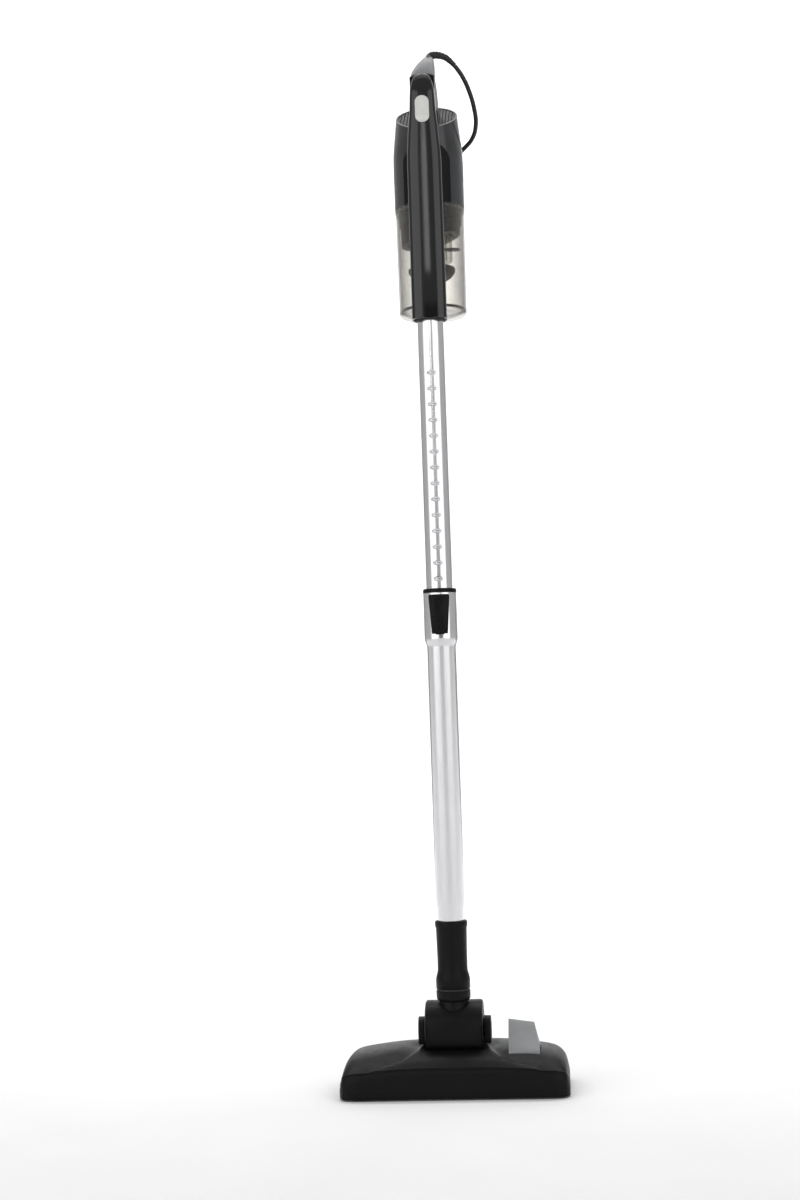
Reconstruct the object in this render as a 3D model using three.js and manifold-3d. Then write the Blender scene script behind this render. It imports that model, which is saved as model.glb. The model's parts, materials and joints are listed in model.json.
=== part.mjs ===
// Corded stick vacuum cleaner, standing upright with its neck locked.
// Millimetres, +Z up, floor at z = 0. Lengths across are X, and the front of the floor head faces -Y.
// Depths in this file are measured from the wand's axis; the outermost group moves that axis to WAND_Y.
import * as THREE from 'three';
import { mergeVertices } from 'three/addons/utils/BufferGeometryUtils.js';
import Module from 'manifold-3d';

// ---------------------------------------------------------------- driving dimensions
const WAND_Y = -26;
const GAP = 0.3;

const HEAD_HALF = 134;
const HEAD_FRONT = -56;
const HEAD_REAR = 72;
const COVER_BOTTOM = 2;
const COVER_WALL = 3;

const TILT_Y = 8;
const TILT_Z = 72;
const DRUM_R = 34;
const DRUM_HALF = 34;
const TRUNNION_R = 8;
const EAR_R = 15;
const EAR_OUT = 43;

const LOWER_TUBE_R = 17.5;
const UPPER_TUBE_R = 16;
const TUBE_WALL = 1.6;
const COLLAR_R = 20.2;
const COLLAR_BOTTOM = 536;
const COLLAR_TOP = 590.5;
const UPPER_TUBE_BOTTOM = 516;
const UPPER_TUBE_TOP = 967;
const DETENT_PITCH = 19.15;
const DETENT_FIRST = 568.7;
const DETENT_COUNT = 16;

const SPINE_BOTTOM = 922;
const SPINE_TOP = 1226;
const SPINE_SPLIT = 2;
const SPINE_WALL = 2.2;

const CAN_Y = 65;
const CUP_BOTTOM = 945;
const CUP_TOP = 1074;
const CUP_R = 43;
const CUP_WALL = 2;
const HOUSING_R = 43.8;
const SHOULDER_Z = 1145;
const SHOULDER_SLOPE = 0.105;
const END_SLOPE = 0.658;
const END_FRONT_Y = 25;
const END_FRONT_Z = 1169;

const CORD_R = 2.8;
const COIL_X = -9;
const COIL_Y = 168;
const COIL_IN = 20.6;
const COIL_OUT = 44.8;
const COIL_BOTTOM = 0.4;
const COIL_TOP = 28.6;

// ---------------------------------------------------------------- finishes
const finish = (color, roughness, metalness = 0) =>
  new THREE.MeshStandardMaterial({ color, roughness, metalness });
const matteBlack = () => finish(0x2b2b2c, 0.62);
const glossBlack = () => finish(0x1b1e20, 0.2);
const darkGrey = () => finish(0x3c3d40, 0.28);
const midGrey = () => finish(0x858786, 0.5);
const paleGrey = () => finish(0x9f9f9f, 0.55);
const silver = () => finish(0xc9cacc, 0.3, 1);
const steel = () => finish(0xaeb0b3, 0.35, 1);
const rubber = () => finish(0x1d1d1d, 0.8);
const white = () => finish(0xd9d8d4, 0.35);
const copper = () => finish(0xa8623a, 0.4, 1);
const bristle = () => finish(0x242424, 0.9);
const lint = () => finish(0x8f2a24, 0.95);
const smoky = () => {
  const clear = finish(0xb2b1ac, 0.1);
  clear.transparent = true;
  clear.opacity = 0.35;
  return clear;
};

// ---------------------------------------------------------------- solids
const wasm = await Module();
wasm.setup();

/** The mesh with shared vertices, no collapsed triangles, and its faces pointing out. */
function weld(geometry) {
  const bare = geometry.index ? geometry.toNonIndexed() : geometry.clone();
  for (const name of Object.keys(bare.attributes)) {
    if (name !== 'position') bare.deleteAttribute(name);
  }
  const merged = mergeVertices(bare, 1e-3);
  const p = merged.attributes.position.array;
  const all = merged.index.array;
  const kept = [];
  let volume = 0;
  for (let i = 0; i < all.length; i += 3) {
    const [a, b, c] = [all[i], all[i + 1], all[i + 2]];
    if (a === b || b === c || c === a) continue;
    kept.push(a, b, c);
    const [A, B, C] = [a, b, c].map((k) => new THREE.Vector3().fromArray(p, k * 3));
    volume += A.dot(B.cross(C));
  }
  if (volume < 0) kept.reverse();
  merged.setIndex(kept);
  return merged;
}

function solid(geometry) {
  const closed = weld(geometry);
  return new wasm.Manifold(new wasm.Mesh({
    numProp: 3,
    vertProperties: new Float32Array(closed.attributes.position.array),
    triVerts: new Uint32Array(closed.index.array),
  }));
}

function geometryOf(shape) {
  const mesh = shape.getMesh();
  const geometry = new THREE.BufferGeometry();
  geometry.setAttribute('position', new THREE.BufferAttribute(mesh.vertProperties, 3));
  geometry.setIndex(new THREE.BufferAttribute(mesh.triVerts, 1));
  return geometry;
}

const join = (first, ...rest) => rest.reduce((sum, next) => sum.add(next), first);
const cut = (first, ...rest) => rest.reduce((left, next) => left.subtract(next), first);

/** A solid of revolution about the vertical line through (x, y). Profile points are [radius, z]. */
function turned(profile, x = 0, y = 0, segments = 24) {
  const points = profile.map(([r, z]) => new THREE.Vector2(r, z));
  const closes = points[0].x > 0 || points.at(-1).x > 0;
  if (closes) points.push(points[0].clone());
  const geometry = new THREE.LatheGeometry(points, segments);
  geometry.rotateX(Math.PI / 2);
  geometry.translate(x, y, 0);
  return solid(geometry);
}

/** A solid of revolution about a line along X. Profile points are [radius, x]. */
function turnedX(profile, y, z, segments = 20) {
  const points = profile.map(([r, x]) => new THREE.Vector2(r, x));
  if (points[0].x > 0) points.push(points[0].clone());
  const geometry = new THREE.LatheGeometry(points, segments);
  geometry.rotateZ(-Math.PI / 2);
  geometry.translate(0, y, z);
  return solid(geometry);
}

const rod = (r, from, to, x, y, segments = 20) =>
  turned([[0, from], [r, from], [r, to], [0, to]], x, y, segments);
const rodX = (r, from, to, y, z, segments = 20) =>
  turnedX([[0, from], [r, from], [r, to], [0, to]], y, z, segments);

const DIRECTIONS = {
  x: [[0, 1, 0], [0, 0, 1], [1, 0, 0]],
  y: [[1, 0, 0], [0, 0, 1], [0, 1, 0]],
  z: [[1, 0, 0], [0, 1, 0], [0, 0, 1]],
};

/** An outline extruded along an axis: [y, z] along x, [x, z] along y, [x, y] along z. */
function prism(axis, outline, from, to) {
  const shape = new THREE.Shape(outline.map(([u, v]) => new THREE.Vector2(u, v)));
  const geometry = new THREE.ExtrudeGeometry(shape, { depth: to - from, bevelEnabled: false });
  geometry.translate(0, 0, from);
  const basis = DIRECTIONS[axis].map((d) => new THREE.Vector3(...d));
  geometry.applyMatrix4(new THREE.Matrix4().makeBasis(...basis));
  return solid(geometry);
}

const box = (x0, x1, y0, y1, z0, z1) =>
  prism('z', [[x0, y0], [x1, y0], [x1, y1], [x0, y1]], z0, z1);

/** A rectangle with rounded corners, as outline points. */
function roundRect(u0, u1, v0, v1, r, steps = 4) {
  const corners = [[u1 - r, v0 + r, -90], [u1 - r, v1 - r, 0], [u0 + r, v1 - r, 90], [u0 + r, v0 + r, 180]];
  return corners.flatMap(([cu, cv, start]) =>
    Array.from({ length: steps + 1 }, (_, k) => {
      const angle = THREE.MathUtils.degToRad(start + (90 * k) / steps);
      return [cu + r * Math.cos(angle), cv + r * Math.sin(angle)];
    }));
}

/** A closed body through rings with the same number of points. Each ring is a list of [x, y, z]. */
function loft(rings) {
  const count = rings[0].length;
  const positions = rings.flat(2);
  const index = [];
  for (let k = 0; k + 1 < rings.length; k += 1) {
    for (let i = 0; i < count; i += 1) {
      const j = (i + 1) % count;
      const [a, b, c, d] = [k * count + i, k * count + j, (k + 1) * count + j, (k + 1) * count + i];
      index.push(a, b, c, a, c, d);
    }
  }
  for (const [ring, flip] of [[0, true], [rings.length - 1, false]]) {
    const middle = positions.length / 3;
    const mean = [0, 1, 2].map((axis) =>
      rings[ring].reduce((sum, point) => sum + point[axis], 0) / count);
    positions.push(...mean);
    for (let i = 0; i < count; i += 1) {
      const [a, b] = [ring * count + i, ring * count + ((i + 1) % count)];
      index.push(...(flip ? [middle, b, a] : [middle, a, b]));
    }
  }
  const geometry = new THREE.BufferGeometry();
  geometry.setAttribute('position', new THREE.Float32BufferAttribute(positions, 3));
  geometry.setIndex(index);
  return solid(geometry);
}

/** A round section swept along a smooth curve through the points. */
function swept(points, radius, sides, steps) {
  const path = new THREE.CatmullRomCurve3(points.map((p) => new THREE.Vector3(...p)));
  const section = new THREE.Shape();
  section.absarc(0, 0, radius, 0, Math.PI * 2);
  const geometry = new THREE.ExtrudeGeometry(section, {
    extrudePath: path, steps, bevelEnabled: false, curveSegments: sides / 2,
  });
  return solid(geometry);
}

// ---------------------------------------------------------------- the assembly
const vacuum = new THREE.Group();
vacuum.position.y = WAND_Y;

function add(name, shape, material) {
  const mesh = new THREE.Mesh(geometryOf(shape), material);
  mesh.name = name;
  vacuum.add(mesh);
}

const SIDES = [['left', -1], ['right', 1]];
const mirrored = (from, to, side) => (side > 0 ? [from, to] : [-to, -from]);

// ---------------------------------------------------------------- floor head
/** Stations of the head's cover: [distance from the middle, top, crease, how far the ends draw in]. */
const STATIONS = [
  [0, 56, 36.5, 0], [34, 55.5, 36.3, 0], [62, 54.5, 35.6, 0], [90, 51.5, 34, 0], [110, 48.5, 32, 0],
  [120, 45.5, 30.5, 1], [127, 40, 28.5, 3], [131, 33, 25, 6], [HEAD_HALF, 20, 16, 12],
];

function coverRing(x, top, crease, inset, wall) {
  const front = HEAD_FRONT + inset + wall;
  const rear = HEAD_REAR - inset - wall;
  const [t, c] = [top - wall, crease - wall];
  const bottom = wall ? COVER_BOTTOM - 1 : COVER_BOTTOM;
  const rise = t - c;
  return [
    [front + 1, bottom], [front, c * 0.5], [front + 1, c - 2], [front + 4, c + 1],
    [front + 16, c + rise * 0.5], [front + 34, c + rise * 0.85], [front + 60, t],
    [rear - 28, t - 1.5], [rear - 10, t - 7], [rear - 1, t * 0.62], [rear, bottom],
  ].map(([y, z]) => [x, y, z]);
}

function coverLoft(wall) {
  const half = STATIONS.map(([x, ...rest]) => [Math.min(x, HEAD_HALF - wall), ...rest]);
  const all = [...half.slice(1).reverse().map(([x, ...rest]) => [-x, ...rest]), ...half];
  return loft(all.map(([x, top, crease, inset]) => coverRing(x, top, crease, inset, wall)));
}

const PEDAL = { x0: 63.5, x1: 100.5, pinY: 15, pinZ: 50, pinR: 1.6 };
const WHEEL = { r: 9, x0: 86, x1: 96, y: 57 };
const ROLLER = { r: 5, x0: 98, x1: 108, y: -42 };
const BRUSH_ROWS = [['front_brush', -30], ['rear_brush', 26]];

const drumRoom = rodX(DRUM_R + 0.6, -DRUM_HALF - 0.8, DRUM_HALF + 0.8, TILT_Y, TILT_Z, 28);
const aboveDrum = box(-DRUM_HALF - 0.8, DRUM_HALF + 0.8, -26, 43, TILT_Z - 20, 80);
const pedalRoom = box(PEDAL.x0 - 0.8, PEDAL.x1 + 0.8, -27, 24, 40, 80);
add('head_cover', cut(
  coverLoft(0), coverLoft(COVER_WALL), drumRoom, aboveDrum, pedalRoom,
), matteBlack());

const LINT_ROWS = [['lint_strip_front', -18.5], ['lint_strip_rear', 18]];
const SOLE = { bottom: 2.6, top: 5.4, x: 126, front: -51, rear: 66 };
const soleSlots = [
  box(-118, 118, -34, -23, 0, 9),
  box(-118, 118, 22, 33, 0, 9),
  box(-70, 70, -14, 14, 0, 9),
  ...LINT_ROWS.map(([, y]) => box(-96, 96, y - 3, y + 3, 0, 9)),
  ...SIDES.flatMap(([, side]) => [
    box(...mirrored(WHEEL.x0 - 1, WHEEL.x1 + 1, side), WHEEL.y - 12, SOLE.rear + 1, 0, 9),
    box(...mirrored(ROLLER.x0 - 1, ROLLER.x1 + 1, side), ROLLER.y - 6, ROLLER.y + 6, 0, 9),
  ]),
];
add('sole_plate', cut(
  prism('z', roundRect(-SOLE.x, SOLE.x, SOLE.front, SOLE.rear, 14), SOLE.bottom, SOLE.top),
  ...soleSlots,
), steel());

for (const [name, y] of LINT_ROWS) {
  add(name, box(-95.7, 95.7, y - 2.7, y + 2.7, 1.4, SOLE.top), lint());
}

const CARRIER = { bottom: 9.8, top: 12.8 };
add('brush_carrier', join(
  ...BRUSH_ROWS.map(([, y]) => box(-116, 116, y - 3, y + 5, CARRIER.bottom, CARRIER.top)),
  ...[-112, -78, 78].map((x) => box(x, x + 5, -28, 26, CARRIER.bottom, CARRIER.top)),
), matteBlack());

/** A strip of tufts hanging from a thin back. */
function brushStrip(y) {
  const tufts = 14;
  const pitch = 228 / tufts;
  const outline = [[114, CARRIER.bottom - GAP], [-114, CARRIER.bottom - GAP]];
  for (let k = 0; k < tufts; k += 1) {
    const x = -114 + k * pitch;
    outline.push([x, 4.4], [x + 1.2, 4.4], [x + 1.2, 1.2], [x + pitch - 1.2, 1.2], [x + pitch - 1.2, 4.4]);
  }
  outline.push([114, 4.4]);
  return prism('y', outline, y - 1, y + 2.5);
}
for (const [name, y] of BRUSH_ROWS) add(name, brushStrip(y), bristle());

add('pedal', cut(
  prism('x', [[-24, 44], [-23, 48.5], [10, 79.5], [15, 79], [18, 60], [14, 44]], PEDAL.x0, PEDAL.x1),
  prism('x', [[-15, 43], [-13, 50], [8, 71], [12, 70], [12, 43]], PEDAL.x0 + 3, PEDAL.x1 - 3),
  rodX(PEDAL.pinR + GAP, PEDAL.x0 - 1, PEDAL.x1 + 1, PEDAL.pinY, PEDAL.pinZ, 12),
), midGrey());
add('pedal_pin', rodX(PEDAL.pinR, PEDAL.x0 - 0.5, PEDAL.x1 + 0.5, PEDAL.pinY, PEDAL.pinZ, 12), steel());

const helix = (turns, radius, x, y, z0, z1) => Array.from({ length: turns * 8 + 1 }, (_, k) => {
  const angle = (k / 8) * Math.PI * 2;
  const z = z0 + ((z1 - z0) * k) / (turns * 8);
  return [x + radius * Math.cos(angle), y + radius * Math.sin(angle), z];
});
add('pedal_spring', swept(helix(4, 4, 82, -2, 22, 44), 0.6, 4, 32), steel());

for (const [name, side] of SIDES) {
  const [x0, x1] = mirrored(DRUM_HALF + 1, EAR_OUT, side);
  const [hole0, hole1] = mirrored(DRUM_HALF, EAR_OUT - 1.2, side);
  add(`bearing_cap_${name}`, cut(
    join(
      rodX(EAR_R, x0, x1, TILT_Y, TILT_Z, 20),
      box(x0, x1, TILT_Y - EAR_R, TILT_Y + EAR_R, 56.4, TILT_Z),
    ),
    rodX(TRUNNION_R + GAP, hole0, hole1, TILT_Y, TILT_Z, 16),
  ), matteBlack());
}

for (const [name, side] of SIDES) {
  const [x0, x1] = mirrored(WHEEL.x0, WHEEL.x1, side);
  add(`rear_wheel_${name}`, turnedX(
    [[1.9, x0], [WHEEL.r - 1, x0], [WHEEL.r, x0 + 1], [WHEEL.r, x1 - 1], [WHEEL.r - 1, x1], [1.9, x1]],
    WHEEL.y, WHEEL.r, 20,
  ), rubber());
  const [f0, f1] = mirrored(ROLLER.x0, ROLLER.x1, side);
  add(`front_roller_${name}`, turnedX(
    [[0, f0], [ROLLER.r - 0.8, f0], [ROLLER.r, f0 + 1], [ROLLER.r, f1 - 1], [ROLLER.r - 0.8, f1], [0, f1]],
    ROLLER.y, ROLLER.r, 16,
  ), rubber());
}
add('rear_axle', rodX(1.5, -WHEEL.x1 - 4, WHEEL.x1 + 4, WHEEL.y, WHEEL.r, 12), steel());

// ---------------------------------------------------------------- neck and swivel
const STUB_R = 15.8;
const DUCT_R = 13;
add('neck_drum', cut(
  join(
    rodX(DRUM_R, -DRUM_HALF, DRUM_HALF, TILT_Y, TILT_Z, 28),
    rodX(TRUNNION_R, -EAR_OUT + 1.8, EAR_OUT - 1.8, TILT_Y, TILT_Z, 16),
    rod(STUB_R, TILT_Z + 20, 130, 0, 0, 28),
  ),
  rod(DUCT_R, 20, 140, 0, 0, 20),
), matteBlack());

add('swivel_collar', turned([
  [STUB_R + GAP, 106.6], [17.4, 106.6], [19.4, 108.6], [COLLAR_R, 112], [COLLAR_R, 118.9], [STUB_R + GAP, 118.9],
]), matteBlack());
add('swivel_washer', turned([
  [STUB_R + GAP, 119.2], [19.6, 119.2], [19.6, 120.8], [STUB_R + GAP, 120.8],
], 0, 0, 24), rubber());
add('swivel_socket', turned([
  [STUB_R + GAP, 121.1], [COLLAR_R, 121.1], [COLLAR_R, 132], [19.4, 137], [17.7, 143], [18.4, 192],
  [19.3, 194], [19.3, 199], [18.6, 200.5], [16.6, 200.5], [16.3, 147], [14.8, 146], [14.8, 132],
  [STUB_R + GAP, 131],
]), matteBlack());

// ---------------------------------------------------------------- telescopic wand
const LOWER_IN = UPPER_TUBE_R + GAP;
const SWAGE_R = 15.9;
const WINDOW = { half: 5.2, bottom: 551, top: 580 };
const collarWindow = box(-WINDOW.half, WINDOW.half, -30, 0, WINDOW.bottom - 11, WINDOW.top);
const guideWindow = box(-WINDOW.half, WINDOW.half, -30, 0, WINDOW.bottom, WINDOW.top);
add('lower_tube', cut(turned([
  [SWAGE_R, 150], [SWAGE_R, 214], [LOWER_TUBE_R, 222], [LOWER_TUBE_R, 526], [COLLAR_R - 0.8, 533],
  [COLLAR_R, COLLAR_BOTTOM], [COLLAR_R, COLLAR_TOP], [19, COLLAR_TOP], [19, 538], [LOWER_IN, 528],
  [LOWER_IN, 226], [SWAGE_R - 1.3, 215], [SWAGE_R - 1.3, 150],
]), collarWindow), silver());

add('lock_guide', cut(turned([
  [LOWER_IN, 540], [18.7, 540], [18.7, COLLAR_TOP + GAP], [COLLAR_R, COLLAR_TOP + GAP],
  [COLLAR_R, 594.6], [19.6, 595.6], [LOWER_IN, 595.6],
]), guideWindow), matteBlack());

const BUTTON = { inner: 21.6, outer: 24, bottom: 541, top: 588 };
const buttonFace = prism('y', [
  [-9.5, BUTTON.bottom], [9.5, BUTTON.bottom], [12.5, BUTTON.top - 3], [11.5, BUTTON.top],
  [-11.5, BUTTON.top], [-12.5, BUTTON.top - 3],
], -30, -10);
const buttonSleeve = turned([
  [BUTTON.inner, BUTTON.bottom], [BUTTON.outer, BUTTON.bottom], [BUTTON.outer, BUTTON.top],
  [BUTTON.inner, BUTTON.top],
], 0, 0, 48);
const scoop = rodX(26, -8, 8, -46.6, 572, 48);
add('release_button', join(
  cut(buttonSleeve.intersect(buttonFace), scoop),
  box(-4.4, 4.4, -22.4, -19.2, 557, 563),
), matteBlack());

const PIN = { r: 2.4, half: 4.4, y: -17.65 };
add('lock_pin', rodX(PIN.r, -PIN.half, PIN.half, PIN.y, DETENT_FIRST, 16), steel());
add('lock_spring', swept(helix(4, 1, 0, -20.2, 541.6, 555.6), 0.25, 4, 32), steel());

const PIN_TRACK_Y = -15.2;
const pinTrack = box(-6, 6, -17, PIN_TRACK_Y, UPPER_TUBE_BOTTOM - 1, UPPER_TUBE_TOP - 5);
const dent = { r: 3.44, depth: 1.2 };
const dents = Array.from({ length: DETENT_COUNT }, (_, k) => rodX(
  dent.r, -12, 12, -(UPPER_TUBE_R - dent.depth + dent.r), DETENT_FIRST + k * DETENT_PITCH, 12,
));
add('upper_tube', cut(turned([
  [UPPER_TUBE_R, UPPER_TUBE_BOTTOM], [UPPER_TUBE_R, UPPER_TUBE_TOP],
  [UPPER_TUBE_R - TUBE_WALL, UPPER_TUBE_TOP], [UPPER_TUBE_R - TUBE_WALL, UPPER_TUBE_BOTTOM],
]), pinTrack, ...dents), silver());

// ---------------------------------------------------------------- handle: two shells down the spine
/** Levels of the spine: [height, half width, depth in front, depth behind]. */
const SPINE = [
  [SPINE_BOTTOM, 21, 21, 20.4], [1000, 21, 21, 20.4], [1072, 20.9, 21, 20.4], [1082, 20.9, 21, 8],
  [1092, 20.8, 21, 1], [1120, 20.7, 21, -1], [1147, 19, 20.6, -1], [1165, 17.4, 20.2, 0],
  [1178, 16.2, 19.8, 6], [1197, 15.3, 19, 12], [1208, 14.2, 17.6, 12], [1216, 12.9, 15.4, 11],
  [1222, 10.6, 12, 9], [SPINE_TOP, 6.5, 7, 6],
];
const SPINE_POINTS = 22;

function spineRing([z, half, front, behind], wall) {
  const squarer = 0.86;
  const middle = (behind - front) / 2;
  const depth = (front + behind) / 2;
  return Array.from({ length: SPINE_POINTS }, (_, k) => {
    const angle = (k / SPINE_POINTS) * Math.PI * 2;
    const [c, s] = [Math.cos(angle), Math.sin(angle)];
    const x = Math.sign(c) * Math.abs(c) ** squarer * (half - wall);
    const y = Math.sign(s) * Math.abs(s) ** squarer * (depth - wall);
    return [x, middle + y, z];
  });
}

const spineOuter = loft(SPINE.map((level) => spineRing(level, 0)));
const spineInner = loft(SPINE.slice(0, -1).map(([z, ...rest]) =>
  spineRing([z === SPINE_BOTTOM ? z - 1 : z - SPINE_WALL / 2, ...rest], SPINE_WALL)));
const BACK_OF_GRIP = -9;
const inFront = (y) => box(-60, 60, -60, y, SPINE_BOTTOM - 5, 1300);
const behindOf = (y) => box(-60, 60, y, 140, SPINE_BOTTOM - 5, 1300);

const endAt = (y) => END_FRONT_Z + (y - END_FRONT_Y) * END_SLOPE;
const ARCH_HALF = 15;
const ARCH_WALL = 2.5;
const archOutline = [
  [-6, 1189], [24, 1189], [38, endAt(38) + 2], [74, endAt(74) + GAP + 0.3], [72, 1210], [62, 1219],
  [46, 1225.5], [10, 1226], [-6, 1223],
];
const archRoom = [[-2, 1192], [25, 1192], [39, endAt(38) + 6], [68, 1207], [60, 1215], [45, 1222], [4, 1223]];
const arch = prism('x', archOutline, -ARCH_HALF, ARCH_HALF);
const archInside = prism('x', archRoom, -ARCH_HALF + ARCH_WALL, ARCH_HALF - ARCH_WALL);

const SOCKET = { inner: UPPER_TUBE_R + 0.4, outer: 17.8, top: 974 };
const ductHole = rod(11.6, 0, 60, 0, 0, 24).rotate([-90, 0, 0]).translate([0, 0, 990]);
add('spine_front_shell', cut(spineOuter, spineInner, behindOf(BACK_OF_GRIP)), glossBlack());
add('handle_rear_shell', cut(
  join(spineOuter, arch), spineInner, archInside, inFront(BACK_OF_GRIP + GAP), ductHole,
), matteBlack());

add('wand_socket', turned([
  [SOCKET.inner, SPINE_BOTTOM + 3], [SOCKET.outer, SPINE_BOTTOM + 3], [SOCKET.outer, SOCKET.top],
  [13.5, SOCKET.top], [13.5, 968.5], [SOCKET.inner, 968.5],
], 0, 0, 24), matteBlack());
add('wand_seal', turned([
  [SOCKET.inner, SPINE_BOTTOM - 1.4], [17, SPINE_BOTTOM - 1.4], [SOCKET.outer, SPINE_BOTTOM - 0.4],
  [SOCKET.outer, SPINE_BOTTOM + 3 - GAP], [SOCKET.inner, SPINE_BOTTOM + 3 - GAP],
], 0, 0, 24), rubber());

/** The grey cap that closes the top of the handle and leans back: [height, middle x, middle y, half x, half y]. */
const CAP = [
  [SPINE_TOP + GAP + 0.1, 0, 12, 15, 16], [1236, 1.5, 17, 13.6, 15.5], [1246, 4, 23, 10.6, 13],
  [1254, 6, 29, 7.4, 9.5], [1257.5, 6.6, 31, 5.4, 7],
];
add('end_cap', loft(CAP.map(([z, cx, cy, hx, hy]) =>
  roundRect(cx - hx, cx + hx, cy - hy, cy + hy, Math.min(hx, hy) * 0.7, 3).map(([x, y]) => [x, y, z]))), paleGrey());

// ---------------------------------------------------------------- switch
add('switch_button', prism('y', roundRect(-8.5, 8.5, 1161, 1194, 8.4, 6), -22.8, -20.3).intersect(
  box(-9, 9, -24, -20, 1160, 1195)), white());
add('switch_block', box(-6, 6, -14, -9.4, 1168, 1188), rubber());

// ---------------------------------------------------------------- motor unit
const endRoom = (lift) => prism('x', [
  [0, endAt(0) + lift], [140, endAt(140) + lift], [140, 1400], [0, 1400],
], -60, 60);
const housingRadius = (z) => HOUSING_R - Math.max(0, z - SHOULDER_Z) * SHOULDER_SLOPE;
const housingProfile = (inset, bottom) => [
  [0, bottom], [HOUSING_R - inset, bottom], [HOUSING_R - inset, SHOULDER_Z - 4],
  [HOUSING_R - 0.4 - inset, SHOULDER_Z + 3], [housingRadius(1230) - inset, 1230], [0, 1230],
];
const HOUSING_BOTTOM = CUP_TOP + 1;
const housingInside = cut(turned(housingProfile(2.2, HOUSING_BOTTOM - 1), 0, CAN_Y, 36));
const sideVents = SIDES.flatMap(([, side]) => Array.from({ length: 4 }, (_, k) => box(
  ...mirrored(38, 46, side), CAN_Y - 9 + k * 5, CAN_Y - 6.5 + k * 5, 1108, 1134,
)));
add('motor_housing', cut(
  turned(housingProfile(0, HOUSING_BOTTOM), 0, CAN_Y, 36), housingInside, endRoom(0), ...sideVents,
), darkGrey());

const grilleSlots = Array.from({ length: 7 }, (_, k) => {
  const x = -24 + k * 8;
  const half = Math.sqrt(30 ** 2 - x ** 2);
  return box(x - 1.4, x + 1.4, CAN_Y - half, CAN_Y + half, 1120, 1300);
});
const endPlate = cut(
  turned(housingProfile(2.2 + GAP, 1120), 0, CAN_Y, 28), endRoom(-1),
).subtract(prism('x', [[0, endAt(0) - 4], [140, endAt(140) - 4], [140, 1000], [0, 1000]], -60, 60));
add('exhaust_grille', cut(endPlate, ...grilleSlots), midGrey());
add('exhaust_filter', cut(
  turned(housingProfile(5, 1120), 0, CAN_Y, 24), endRoom(-4 - GAP),
).subtract(prism('x', [[0, endAt(0) - 10], [140, endAt(140) - 10], [140, 1000], [0, 1000]], -60, 60)), bristle());

add('motor_mount', turned([
  [30.4, 1098], [41.2, 1098], [41.2, 1104], [30.4, 1104],
], 0, CAN_Y, 24), rubber());
add('motor_can', turned([
  [5, 1104.4], [39, 1104.4], [39, 1106], [30, 1106], [30, 1148], [10, 1152], [10, 1156], [5, 1156],
], 0, CAN_Y, 24), steel());
add('motor_shaft', rod(2.5, 1084, 1159, 0, CAN_Y, 16), steel());

/** A centrifugal fan: a back plate, a hub and curved blades. */
function fan(bottom, top, radius) {
  const blades = Array.from({ length: 7 }, (_, k) => {
    const outline = Array.from({ length: 4 }, (_, n) => {
      const r = 8 + ((radius - 9) * n) / 3;
      const angle = (k / 7) * Math.PI * 2 + n * 0.29;
      return [r, angle];
    });
    const edge = (turn) => outline.map(([r, angle]) => [
      r * Math.cos(angle + turn / r), CAN_Y + r * Math.sin(angle + turn / r),
    ]);
    return prism('z', [...edge(-0.8), ...edge(0.8).reverse()], bottom, top);
  });
  const plate = rod(radius, top - 1.6, top, 0, CAN_Y, 24);
  const hub = rod(9, bottom, top, 0, CAN_Y, 16);
  return cut(join(plate, hub, ...blades), rod(2.8, bottom - 1, top + 1, 0, CAN_Y, 12));
}
add('impeller', fan(1086, 1096, 28), copper());

// ---------------------------------------------------------------- dust cup
const cupRadius = (z) => CUP_R - ((CUP_TOP - z) / (CUP_TOP - CUP_BOTTOM)) * 1;
const DUCT_END = 21.6;
add('inlet_duct', cut(
  rod(11.2, 6, DUCT_END, 0, 0, 24),
  rod(9.6, 5, 26, 0, 0, 24),
).rotate([-90, 0, 0]).translate([0, 0, 990]), matteBlack());
const cupHole = rod(11.6, 18, 32, 0, 0, 24).rotate([-90, 0, 0]).translate([0, 0, 990]);
add('dust_cup', cut(turned([
  [cupRadius(CUP_BOTTOM), CUP_BOTTOM + 2], [CUP_R, CUP_TOP], [CUP_R - CUP_WALL, CUP_TOP],
  [cupRadius(CUP_BOTTOM) - CUP_WALL, CUP_BOTTOM + 2],
], 0, CAN_Y, 36), cupHole), smoky());

add('cup_seal', turned([
  [37, CUP_TOP - 3], [CUP_R - CUP_WALL - GAP, CUP_TOP - 3], [CUP_R - CUP_WALL - GAP, CUP_TOP + 0.6],
  [37, CUP_TOP + 0.6],
], 0, CAN_Y, 24), rubber());

/** The ribbed separator, lower on one side, hanging under the motor. */
const SEPARATOR_TOP = CUP_TOP - 3 - GAP;
const ribs = [0, 1, 2].flatMap((k) => {
  const z = SEPARATOR_TOP - 3 - k * 5;
  return [[37, z], [39, z - 0.6], [39, z - 2.2], [37, z - 2.8]];
});
const slantBelow = (z0, slope) => prism('y', [
  [-60, z0 - 60 * slope - 80], [60, z0 + 60 * slope - 80], [60, z0 + 60 * slope], [-60, z0 - 60 * slope],
], 0, 140);
add('separator_body', cut(turned([
  [28, 1022], [36.4, 1022], ...ribs.slice().reverse(), [38.4, SEPARATOR_TOP], [28, SEPARATOR_TOP],
], 0, CAN_Y, 24), slantBelow(1037, 0.2)), matteBlack());

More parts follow.
